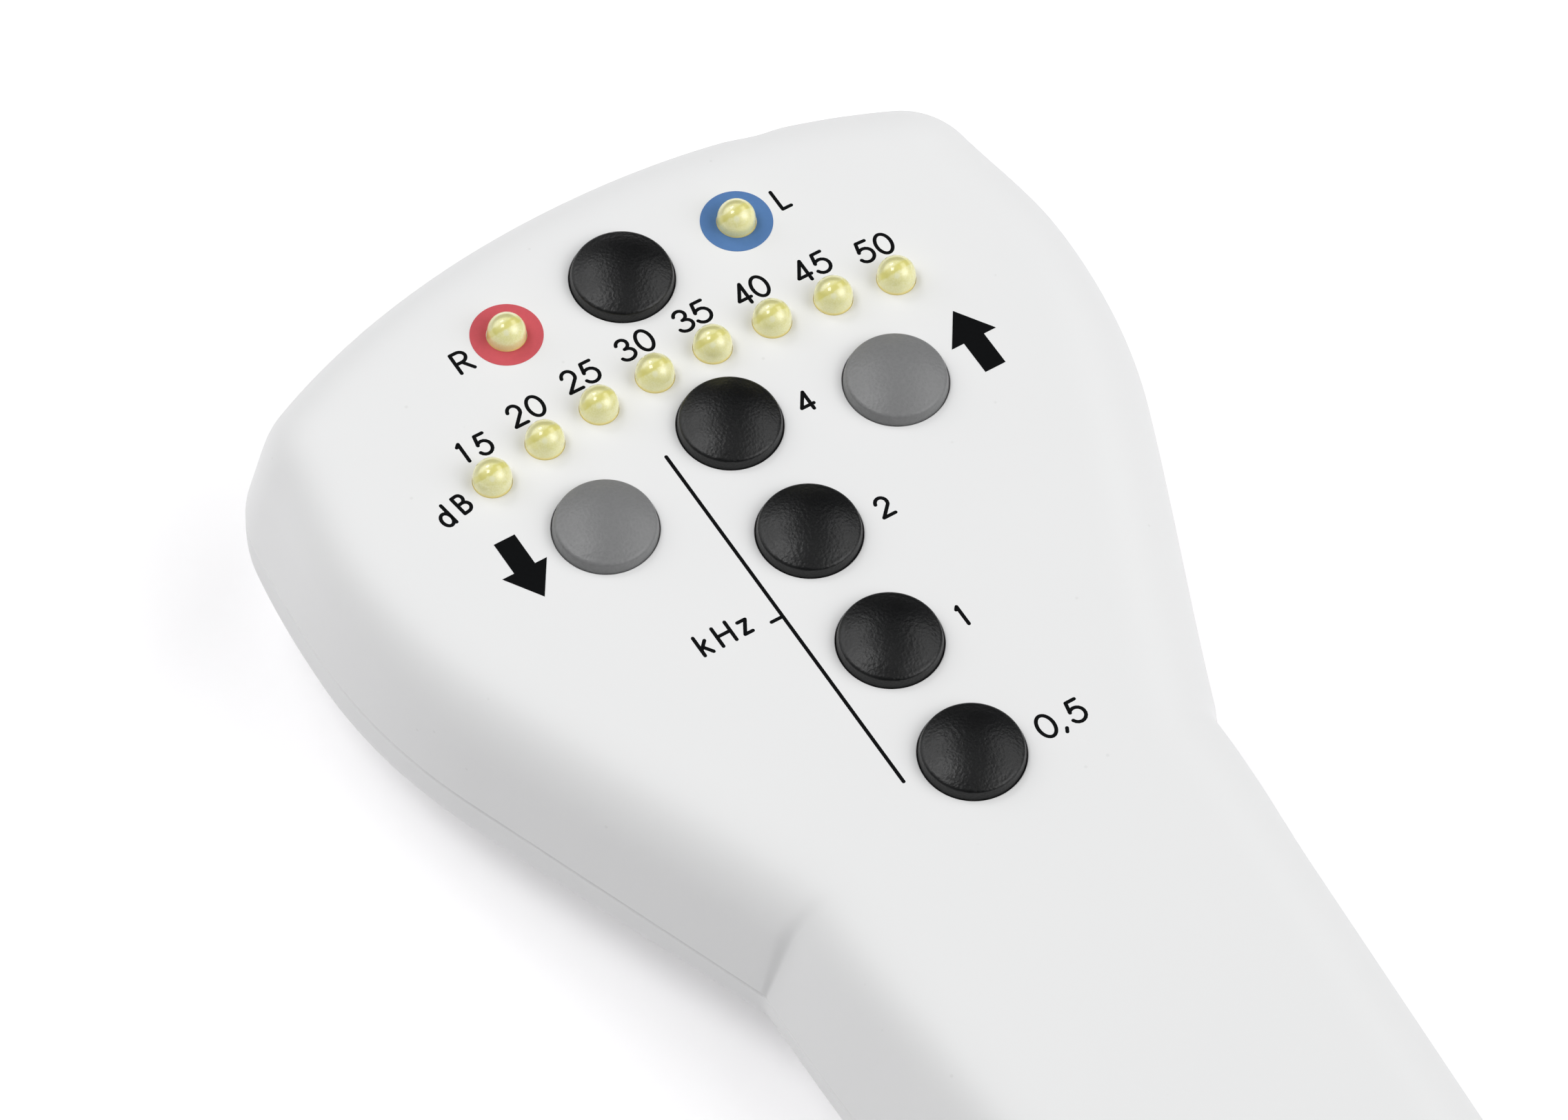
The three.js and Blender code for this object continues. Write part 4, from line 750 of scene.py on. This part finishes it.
# Lamps
# Ten 3 mm light-emitting diodes in pale yellow epoxy, pushed through the panel from behind up to their
# flanges. The epoxy shows the chip and a darker diagonal band; painted shade lies along its far side,
# painted glow at its foot, and the whole lens gives off a faint painted glow.
lens_radius, lens_height, dome_foot = 1.46, 1.48, 0.55
flange_radius, flange_top, flange_foot = 1.9, -2.3, -3.3
angles = [math.radians(90 * i / 14) for i in range(15)]
lamp_profile = [(lens_radius * math.sin(angle), dome_foot + lens_height * math.cos(angle)) for angle in angles]
lamp_profile += [(lens_radius, flange_top), (flange_radius, flange_top), (flange_radius, flange_foot),
                 (0.0, flange_foot)]

# Places in the lens are in units of its 1.5 mm: first along X, Y and Z, then across and up the picture as the camera
# sees it
unit = 0.0015
epoxy, start = emptied(bpy.data.materials.new("yellow_epoxy"))
spot = start.node("ShaderNodeUVMap", {"uv_map": "across_lens"}, {}, "UV")
place = start.node("ShaderNodeTexCoord", {}, {}, "Object")
rise = start.node("ShaderNodeSeparateXYZ", {}, {0: place}, "Z")
side = start.node("ShaderNodeSeparateXYZ", {}, {0: spot}, "X") - 0.5
front = start.node("ShaderNodeSeparateXYZ", {}, {0: spot}, "Y") - 0.5
dome = (rise - (panel_height + 0.5) / 1000) * (1 / unit)
across = side * 0.847 - front * 0.531 + dome * 0.031
along = side * 0.434 + front * 0.723 + dome * 0.538
filler = start.noise(9000.0, 3.0)
above = along * 0.872 - across * 0.489 + (start.noise(2600.0, 1.0) - 0.5) * 0.16
# A darker, more saturated diagonal band across the lens, laid out as the camera sees it.
diagonal_band = above.clamped(0.02, 0.16) * (1 - above.clamped(0.36, 0.52)) * (1 - across.clamped(0.70, 0.95))
reach = start.math("SQRT", across * across + along * along, 0.0)
# Painted shade: a dark olive ring along the lens's far side, where the dome shows a dark reflection.
painted_far_shade = reach.clamped(0.62, 0.76) * (1 - reach.clamped(0.82, 0.96)) * above.clamped(0.30, 0.60)
chip_reach = start.math("SQRT", (across - 0.02) * (across - 0.02) + (along + 0.09) * (along + 0.09), 0.0)
chip = 1 - chip_reach.clamped(0.09, 0.20)
# Painted light: a deeper gold at the lens's foot, for the light that gathers in the epoxy there.
root = 1 - rise.clamped(0.02214, 0.02232)
colour = filler.clamped(0.35, 0.7).mixed((0.70, 0.675, 0.31, 1), (0.75, 0.73, 0.41, 1))
for part, tint in [(diagonal_band * (0.55 + filler * 0.5), (0.60, 0.56, 0.15, 1)), (painted_far_shade * 0.7, (0.42, 0.40, 0.17, 1)),
                   (chip * 0.6, (0.76, 0.76, 0.56, 1)), (root, (0.78, 0.68, 0.25, 1))]:
    colour = part.mixed(colour, tint)
# Painted glow: the unlit lenses give off a little of their own colour, in place of light passing through the epoxy.
start.surface({
    "Base Color": colour, "Roughness": 0.35, "Subsurface Weight": 0.35, "Subsurface Radius": (1.0, 0.9, 0.35),
    "Subsurface Scale": 0.0004, "Coat Weight": 1.0, "Coat Roughness": 0.03, "Coat IOR": 1.6,
    "Emission Color": colour, "Emission Strength": 0.22})

lamps = turned("lamp_lenses", lamp_profile, lamp_places + ear_lamp_places, 48, material=epoxy)
middles = np.array([row(*lamp)[:2] for lamp in lamp_places + ear_lamp_places])
spots = np.empty(len(lamps.data.vertices) * 3)
lamps.data.vertices.foreach_get("co", spots)
spots = spots.reshape(-1, 3)[:, :2]
nearest = np.argmin(((spots[:, None] - middles) ** 2).sum(axis=2), axis=1)
corners = np.empty(len(lamps.data.loops), dtype=int)
lamps.data.loops.foreach_get("vertex_index", corners)
across_lens = lamps.data.uv_layers.new(name="across_lens")
across_lens.data.foreach_set("uv", (0.5 + (spots - middles[nearest]) / unit)[corners].ravel())
dress(lamps, epoxy)
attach(lamps, "housing")
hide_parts(*["level_lamp_" + str(level) for level in range(15, 51, 5)], "right_ear_lamp", "left_ear_lamp")

# Lower shell
# The moulded back half of the housing in the same off-white ABS. A lip goes into the upper shell's rebate,
# four wells let the screw heads in from the back, and a tray in the handle takes the two cells. Beside it run
# the ways for the battery door's tongues, over the rails that hold them.
tray_front_y, tray_back_y, tray_wall = -44.0, -95.0, 1
rail_back_y = tray_back_y - 16
opening_half = 11.8
tongue_top, tongue_bottom = 16.6, 17.4
way_inside, way_outside, way_top, way_bottom = 10.2, 12.6, 16.3, 17.7
past_end_y, past_back = -136, 25


def back_curve(edge, offset, steps):
    """Quarter ellipse from the flat back out to the upright band."""
    width, band = edge[4], edge[5]
    rise = panel_height - parting_depth - band
    curve = []
    for i in range(steps + 1):
        angle = math.pi / 2 * (1 - i / steps)
        level = Vector((math.cos(angle) / width, math.sin(angle) / rise)).normalized()
        curve.append((width * (1 - math.cos(angle)) + offset * level.x,
                      parting_depth + band + rise * math.sin(angle) - offset * level.y))
    return curve


seat = parting_depth + 0.05


def lower_section(edge):
    """The skin from the back to the parting line, the lip that stands up from it and the inner side."""
    lip_outside, lip_inside, lip_top, lip_foot = 1.3, 2.2, 9.9, parting_depth + 0.08
    return back_curve(edge, 0, 16) + [
        (0.0, seat + rim_round), (rim_round, seat), (wall_inset(edge, lip_outside, seat), seat),
        (wall_inset(edge, lip_outside, lip_top), lip_top), (wall_inset(edge, lip_inside, lip_top), lip_top),
        (wall_inset(edge, lip_inside, parting_depth), lip_foot)] + back_curve(edge, wall, 8)[::-1]


def back_core(edge):
    return back_curve(edge, core_offset, 8) + [(core_offset, seat)]


def block(name, x_low, x_high, y_low, y_high, top, bottom):
    """Square tool between two depths."""
    mesh = bpy.data.meshes.new(name)
    mesh.from_pydata([row(x, y, d) for d in (bottom, top) for y in (y_low, y_high) for x in (x_low, x_high)], [],
                     [(0, 2, 3, 1), (4, 5, 7, 6), (0, 1, 5, 4), (2, 6, 7, 3), (0, 4, 6, 2), (1, 3, 7, 5)])
    return show(name, outward(mesh))


def blocks(name, sizes):
    """Several square tools that don't touch, as one mesh."""
    made = [block(name, *size) for size in sizes]
    verts, faces = [], []
    for tool in made:
        faces += [[len(verts) + i for i in polygon.vertices] for polygon in tool.data.polygons]
        verts += [tuple(v.co) for v in tool.data.vertices]
        bpy.data.objects.remove(tool)
    mesh = bpy.data.meshes.new(name)
    mesh.from_pydata(verts, [], faces)
    return show(name, mesh)


def both_sides(x_low, x_high, y_low, y_high, top, bottom):
    return [(x_low, x_high, y_low, y_high, top, bottom), (-x_high, -x_low, y_low, y_high, top, bottom)]


def tray_prism(name, half_width, top, bottom, y_low, y_high, chamfer=1.4):
    outline_xz = [(-half_width, bottom), (half_width, bottom), (half_width, top + chamfer * 2),
                  (half_width - chamfer * 0.3, top + chamfer * 0.9), (half_width - chamfer, top),
                  (chamfer - half_width, top), (chamfer * 0.3 - half_width, top + chamfer * 0.9),
                  (-half_width, top + chamfer * 2)]
    near, far = ([row(x, y, depth) for x, depth in outline_xz] for y in (y_low, y_high))
    return show(name, prism(name, near, far))


tray = tray_prism("tray", way_outside + tray_wall, 7.25, 18.0, tray_back_y - tray_wall, tray_front_y + tray_wall)
shelf = trim(block("shelf", -19.6, 19.6, rail_back_y, tray_front_y + tray_wall, 14.8, way_top), back_core)
carve(
    tray,
    ("UNION", shelf),
    ("DIFFERENCE", tray_prism("tray_inside", way_outside, 8.55, 21.0, tray_back_y, tray_front_y)),
    ("DIFFERENCE", blocks("skirt_ways", both_sides(way_inside, way_outside, tray_back_y - 4, tray_back_y,
                                                   way_top, 21.0))),
    ("UNION", blocks("tray_ends", [(-way_inside, way_inside, y, y + tray_wall, 7.9, 18.4)
                                   for y in (tray_front_y, tray_back_y - tray_wall)])),
)
rails = trim(blocks("rails", both_sides(opening_half, 15.2, rail_back_y, tray_front_y + tray_wall,
                                        way_bottom, panel_height)), back_core)
wells = trim(pin("screw_wells", 4.2, -12.3, -panel_height, head_screw_places, 48), back_core)
lower_shell = show("lower_shell_moulding", loft("lower_shell_moulding", lower_section))
carve(
    lower_shell,
    ("UNION", wells),
    ("UNION", rails),
    ("DIFFERENCE", block("door_opening", -opening_half, opening_half, past_end_y, tray_front_y, 6.9, past_back)),
    ("DIFFERENCE", blocks("tongue_ways", both_sides(way_inside, way_outside, past_end_y, tray_front_y,
                                                    way_top, way_bottom))),
    ("UNION", tray),
    ("DIFFERENCE", pin("counterbores", 2.9, -17.5, -past_back, head_screw_places, 64)),
    ("DIFFERENCE", pin("counterbore_rims", 3.05, -21.9, -past_back, head_screw_places, 64)),
    ("DIFFERENCE", pin("screw_holes", 1.55, -9.0, -22.0, head_screw_places, 32)),
    ("DIFFERENCE", pin("handle_screw_hole", 1.55, -11.0, -22.0, [handle_screw_place], 32)),
    ("DIFFERENCE", blocks("tab_slots", both_sides(4.0, 7.0, -45.0, tray_front_y, 4.25, 10.05))),
)
dress(lower_shell, off_white)
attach(lower_shell, "housing")
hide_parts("lower_shell")

# Battery door
# A loose moulded cover in the same plastic that makes up the back of the handle. Two tongues on its skirts
# ride over the rails, and five finger grooves near its front edge help to push it off the handle's end.
door_half, door_front_y, skirt_end_y = 11.5, -44.3, -118.7
skirts = trim(blocks("skirts", both_sides(10.5, door_half, skirt_end_y, door_front_y, tongue_top, panel_height)),
              back_core)


def door_section(edge):
    top = parting_depth + 0.3
    return back_curve(edge, 0, 16) + [(0.0, top), (wall, top)] + back_curve(edge, wall, 8)[::-1][1:]


groove_places = [(0.0, -52.85 - 2.2 * i, 22.05) for i in range(5)]
groove_radius, groove_half = 0.55, 5.45
groove_profile = [(groove_radius * math.sin(math.radians(a)), groove_half + groove_radius * math.cos(math.radians(a)))
                  for a in range(0, 91, 15)]
groove_profile += [(radius, -height) for radius, height in reversed(groove_profile)]
battery_door = show("battery_door_moulding", loft("battery_door_moulding", door_section))
carve(
    battery_door,
    ("INTERSECT", block("door_outline", -door_half, door_half, past_end_y, door_front_y, 11.3, past_back)),
    ("UNION", skirts),
    ("UNION", blocks("tongues", both_sides(10.6, 12.3, skirt_end_y, door_front_y, tongue_top, tongue_bottom))),
    ("DIFFERENCE", turned("grooves", groove_profile, groove_places, 32, (0, 90, 0))),
)
dress(battery_door, off_white)
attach(battery_door, "door")
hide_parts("battery_door")

# Screws
# Zinc-plated self-tapping screws with cross recesses: four hold the head's two halves together, one under the
# battery door holds the handle, and three short ones hold the board to its posts.
screwing, given = new_tree("cross_head_screws", Places="Geometry", Profile="Object", Slot_Size="Vector",
                           Slot_Place="Vector", Seed="Int", Material="Material")
uncut = add_lathe(screwing, given["Profile"], 32)
bar = add(screwing, "GeometryNodeMeshCube", {}, {"Size": given["Slot_Size"]})
slot = add(screwing, "GeometryNodeTransform", {}, {"Geometry": bar, "Translation": given["Slot_Place"]})
crossed = add(screwing, "GeometryNodeTransform", {}, {"Geometry": slot, "Rotation": (0, 0, math.pi / 2)})
cutting = {"operation": "DIFFERENCE", "solver": "MANIFOLD"}
cut = add(screwing, "GeometryNodeMeshBoolean", cutting, {"Mesh 1": uncut, "Mesh 2": slot})
cut_twice = add(screwing, "GeometryNodeMeshBoolean", cutting, {"Mesh 1": cut, "Mesh 2": crossed})
angle = add(screwing, "FunctionNodeRandomValue", {"data_type": "FLOAT"}, {2: 0.0, 3: 6.28, "Seed": given["Seed"]}, 1)
spin = add(screwing, "ShaderNodeCombineXYZ", {}, {"Z": angle})
add_end(screwing, add_copies(screwing, given["Places"], cut_twice, spin), given["Material"])


def plated_metal(name, dark, pale, rough):
    """Plated metal with a faint cloud in its plating and fine wear."""
    material, start = emptied(bpy.data.materials.new(name))
    wear = start.noise(6000.0, 2.0)
    start.surface({"Base Color": start.noise(900.0, 3.0).mixed(dark, pale), "Metallic": 1.0,
                   "Roughness": rough + wear * 0.2, "Normal": wear.bump(0.3, 5e-6)})
    return material


zinc = plated_metal("zinc_plate", (0.50, 0.51, 0.53, 1), (0.63, 0.64, 0.66, 1), 0.24)


def screws(name, places, head_radius, head_height, shank_radius, reach, slot_size, seed):
    """Screws whose heads point to the back; each place is where the head seats."""
    pitch, thread = 0.9, []
    turns = int((reach - 1.6) / pitch)
    for i in range(turns):
        top = reach - 1.2 - i * pitch
        thread += [(shank_radius * 0.78, top), (shank_radius, top - 0.3), (shank_radius * 0.78, top - 0.6)]
    head = [(1, 0.45), (0.93, 0.72), (0.76, 0.92), (0.5, 1), (0, 1)]
    profile = [(0.0, reach), (shank_radius * 0.5, reach - 0.3)] + thread + [
        (shank_radius * 0.8, 0.0), (head_radius - 0.1, 0.0), (head_radius, -0.15)]
    profile += [(head_radius * wide, -head_height * high) for wide, high in head]
    piece = grown_at(name, places, profile, screwing, Slot_Size=[size / 1000 for size in slot_size],
                     Slot_Place=[0, 0, -head_height / 1000], Seed=seed, Material=zinc)
    dress(piece, zinc, 35)
    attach(piece, "housing")
    return piece


housing_screws = screws(
    "housing_screws", [(x, y, 17.55) for x, y in head_screw_places] + [(*handle_screw_place, 16.35)],
    head_radius=2.6, head_height=1.8, shank_radius=1.25, reach=9.5, slot_size=(2.9, 0.62, 2.2), seed=7)
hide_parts("head_screw_1", "head_screw_2", "head_screw_3", "head_screw_4", "handle_screw")
board_screws = screws(
    "board_screws", [(x, y, 9.2) for x, y in board_screw_places],
    head_radius=1.9, head_height=1.2, shank_radius=0.95, reach=5.2, slot_size=(2.1, 0.45, 1.4), seed=11)
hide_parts("board_screw_1", "board_screw_2", "board_screw_3")

# Battery cells
# Two AAA dry cells side by side, one turned round: a printed film sleeve, plain here, over a steel can
# whose crimped ends stay bare.
cell_profile = [
    (0.0, 23.05), (1.7, 23.05), (1.9, 22.85), (1.9, 22.3), (3.4, 22.25), (3.7, 22.0), (4.3, 22.0), (4.6, 22.25),
    (5.0, 22.2), (5.25, 21.9), (5.25, -21.9), (5.05, -22.15), (4.7, -22.25), (4.3, -22.1), (3.9, -22.25),
    (0.0, -22.25)]


def cell_sleeve(name, middle_y, positive_side):
    """Bare steel at both ends, a dark band at the positive end and a grey-blue film between."""
    material, start = emptied(bpy.data.materials.new(name))
    place = start.node("ShaderNodeTexCoord", {}, {}, "Object")
    middle = (middle_y + row_shift) / 1000
    along = (start.node("ShaderNodeSeparateXYZ", {}, {0: place}, "Y") - middle) * positive_side
    sleeved = along.clamped(-0.0219, -0.0218) * (1 - along.clamped(0.0218, 0.0219))
    film = along.clamped(0.0129, 0.0131).mixed((0.16, 0.24, 0.34, 1), (0.03, 0.035, 0.045, 1))
    start.surface({"Base Color": sleeved.mixed((0.62, 0.62, 0.61, 1), film), "Metallic": 1 - sleeved * 0.6,
                   "Roughness": 0.24 + start.noise(500.0, 4.0) * 0.16})
    return material


for name, cell_place, side in [("left_cell", (-5.5, -68.6, 14.1), 1), ("right_cell", (5.5, -70.4, 14.1), -1)]:
    sleeve = cell_sleeve(name + "_sleeve", cell_place[1], side)
    dry_cell = turned(name + "_can", cell_profile, [cell_place], 64, (-90 * side, 0, 0), sleeve)
    dress(dry_cell, sleeve)
    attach(dry_cell, "housing")
    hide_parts(name)

# Headphone socket
# A board-mounted 3.5 mm socket in black plastic; its round bushing looks out of the recess in the head end.
socket_front_y = 19.5
socket_front = (socket_x, socket_front_y, socket_depth)
socket_body = block("headphone_socket_body", socket_x - 3, socket_x + 3, socket_front_y - 12, socket_front_y,
                    2.9, 7.5)
round_off = socket_body.modifiers.new("edges", "BEVEL")
round_off.width = 0.0002
round_off.segments = 3
settle(socket_body)
carve(
    socket_body,
    ("UNION", turned("bushing", [(0, 2.8), (2.7, 2.8), (3.0, 2.5), (3.0, -0.3), (0, -0.3)], [socket_front], 64,
                     (-90, 0, 0))),
    ("DIFFERENCE", turned("bore", [(0, 3.5), (2.15, 3.5), (1.8, 2.6), (1.8, -10.2), (0, -10.2)], [socket_front], 48,
                          (-90, 0, 0))),
)
black_moulding = grained_plastic("black_moulding", (0.010, 0.010, 0.011, 1), (0.016, 0.016, 0.017, 1), 0.45, 0.5)
dress(socket_body, black_moulding)
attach(socket_body, "housing")
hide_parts("headphone_socket")

# Board and its parts
# A green circuit board carries the switches, three chips and two capacitors, and two wires lead to the cells'
# contacts. All of these keep the frame's shapes and only take their finishes here.
laminate, start = emptied(bpy.data.materials.new("green_solder_mask"))
place = start.node("ShaderNodeTexCoord", {}, {}, "Object")
tracks = start.node("ShaderNodeTexBrick", {"offset": 0.5}, {
    "Vector": place, "Color1": grey(0.0), "Color2": grey(0.0), "Mortar": grey(1.0), "Scale": 220.0,
    "Mortar Size": 0.03, "Mortar Smooth": 0.2, "Brick Width": 1.4, "Row Height": 0.35}, "Color")
weave = start.noise(1500.0, 2.0)
mask = weave.mixed((0.012, 0.11, 0.045, 1), (0.018, 0.15, 0.065, 1))
start.surface({"Base Color": tracks.mixed(mask, (0.05, 0.27, 0.11, 1)), "Roughness": 0.28 + weave * 0.1,
               "Normal": tracks.bump(0.4, 3e-5), "Coat Weight": 0.3})

nickel = plated_metal("nickel_plate", (0.58, 0.56, 0.51, 1), (0.68, 0.66, 0.61, 1), 0.2)
bare_can = plated_metal("aluminium_can", (0.60, 0.60, 0.61, 1), (0.72, 0.72, 0.73, 1), 0.3)
red_insulation = grained_plastic("red_insulation", (0.42, 0.015, 0.015, 1), (0.5, 0.02, 0.02, 1), 0.35, 0.5)
black_insulation = grained_plastic("black_insulation", (0.012, 0.012, 0.013, 1), (0.02, 0.02, 0.021, 1), 0.35, 0.5)
finishes = {"main_board": laminate, "microcontroller": black_moulding, "tone_generator": black_moulding,
            "output_amplifier": black_moulding, "left_capacitor": bare_can, "right_capacitor": bare_can,
            "positive_contact": nickel, "negative_contact": nickel, "bridge_contact": nickel,
            "positive_wire": red_insulation, "negative_wire": black_insulation}
for body, _, _, _ in caps:
    finishes[body + "_switch_body"] = black_moulding
    finishes[body + "_switch_plunger"] = black_moulding
for node, material in finishes.items():
    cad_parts[node].material_slots[0].material = material
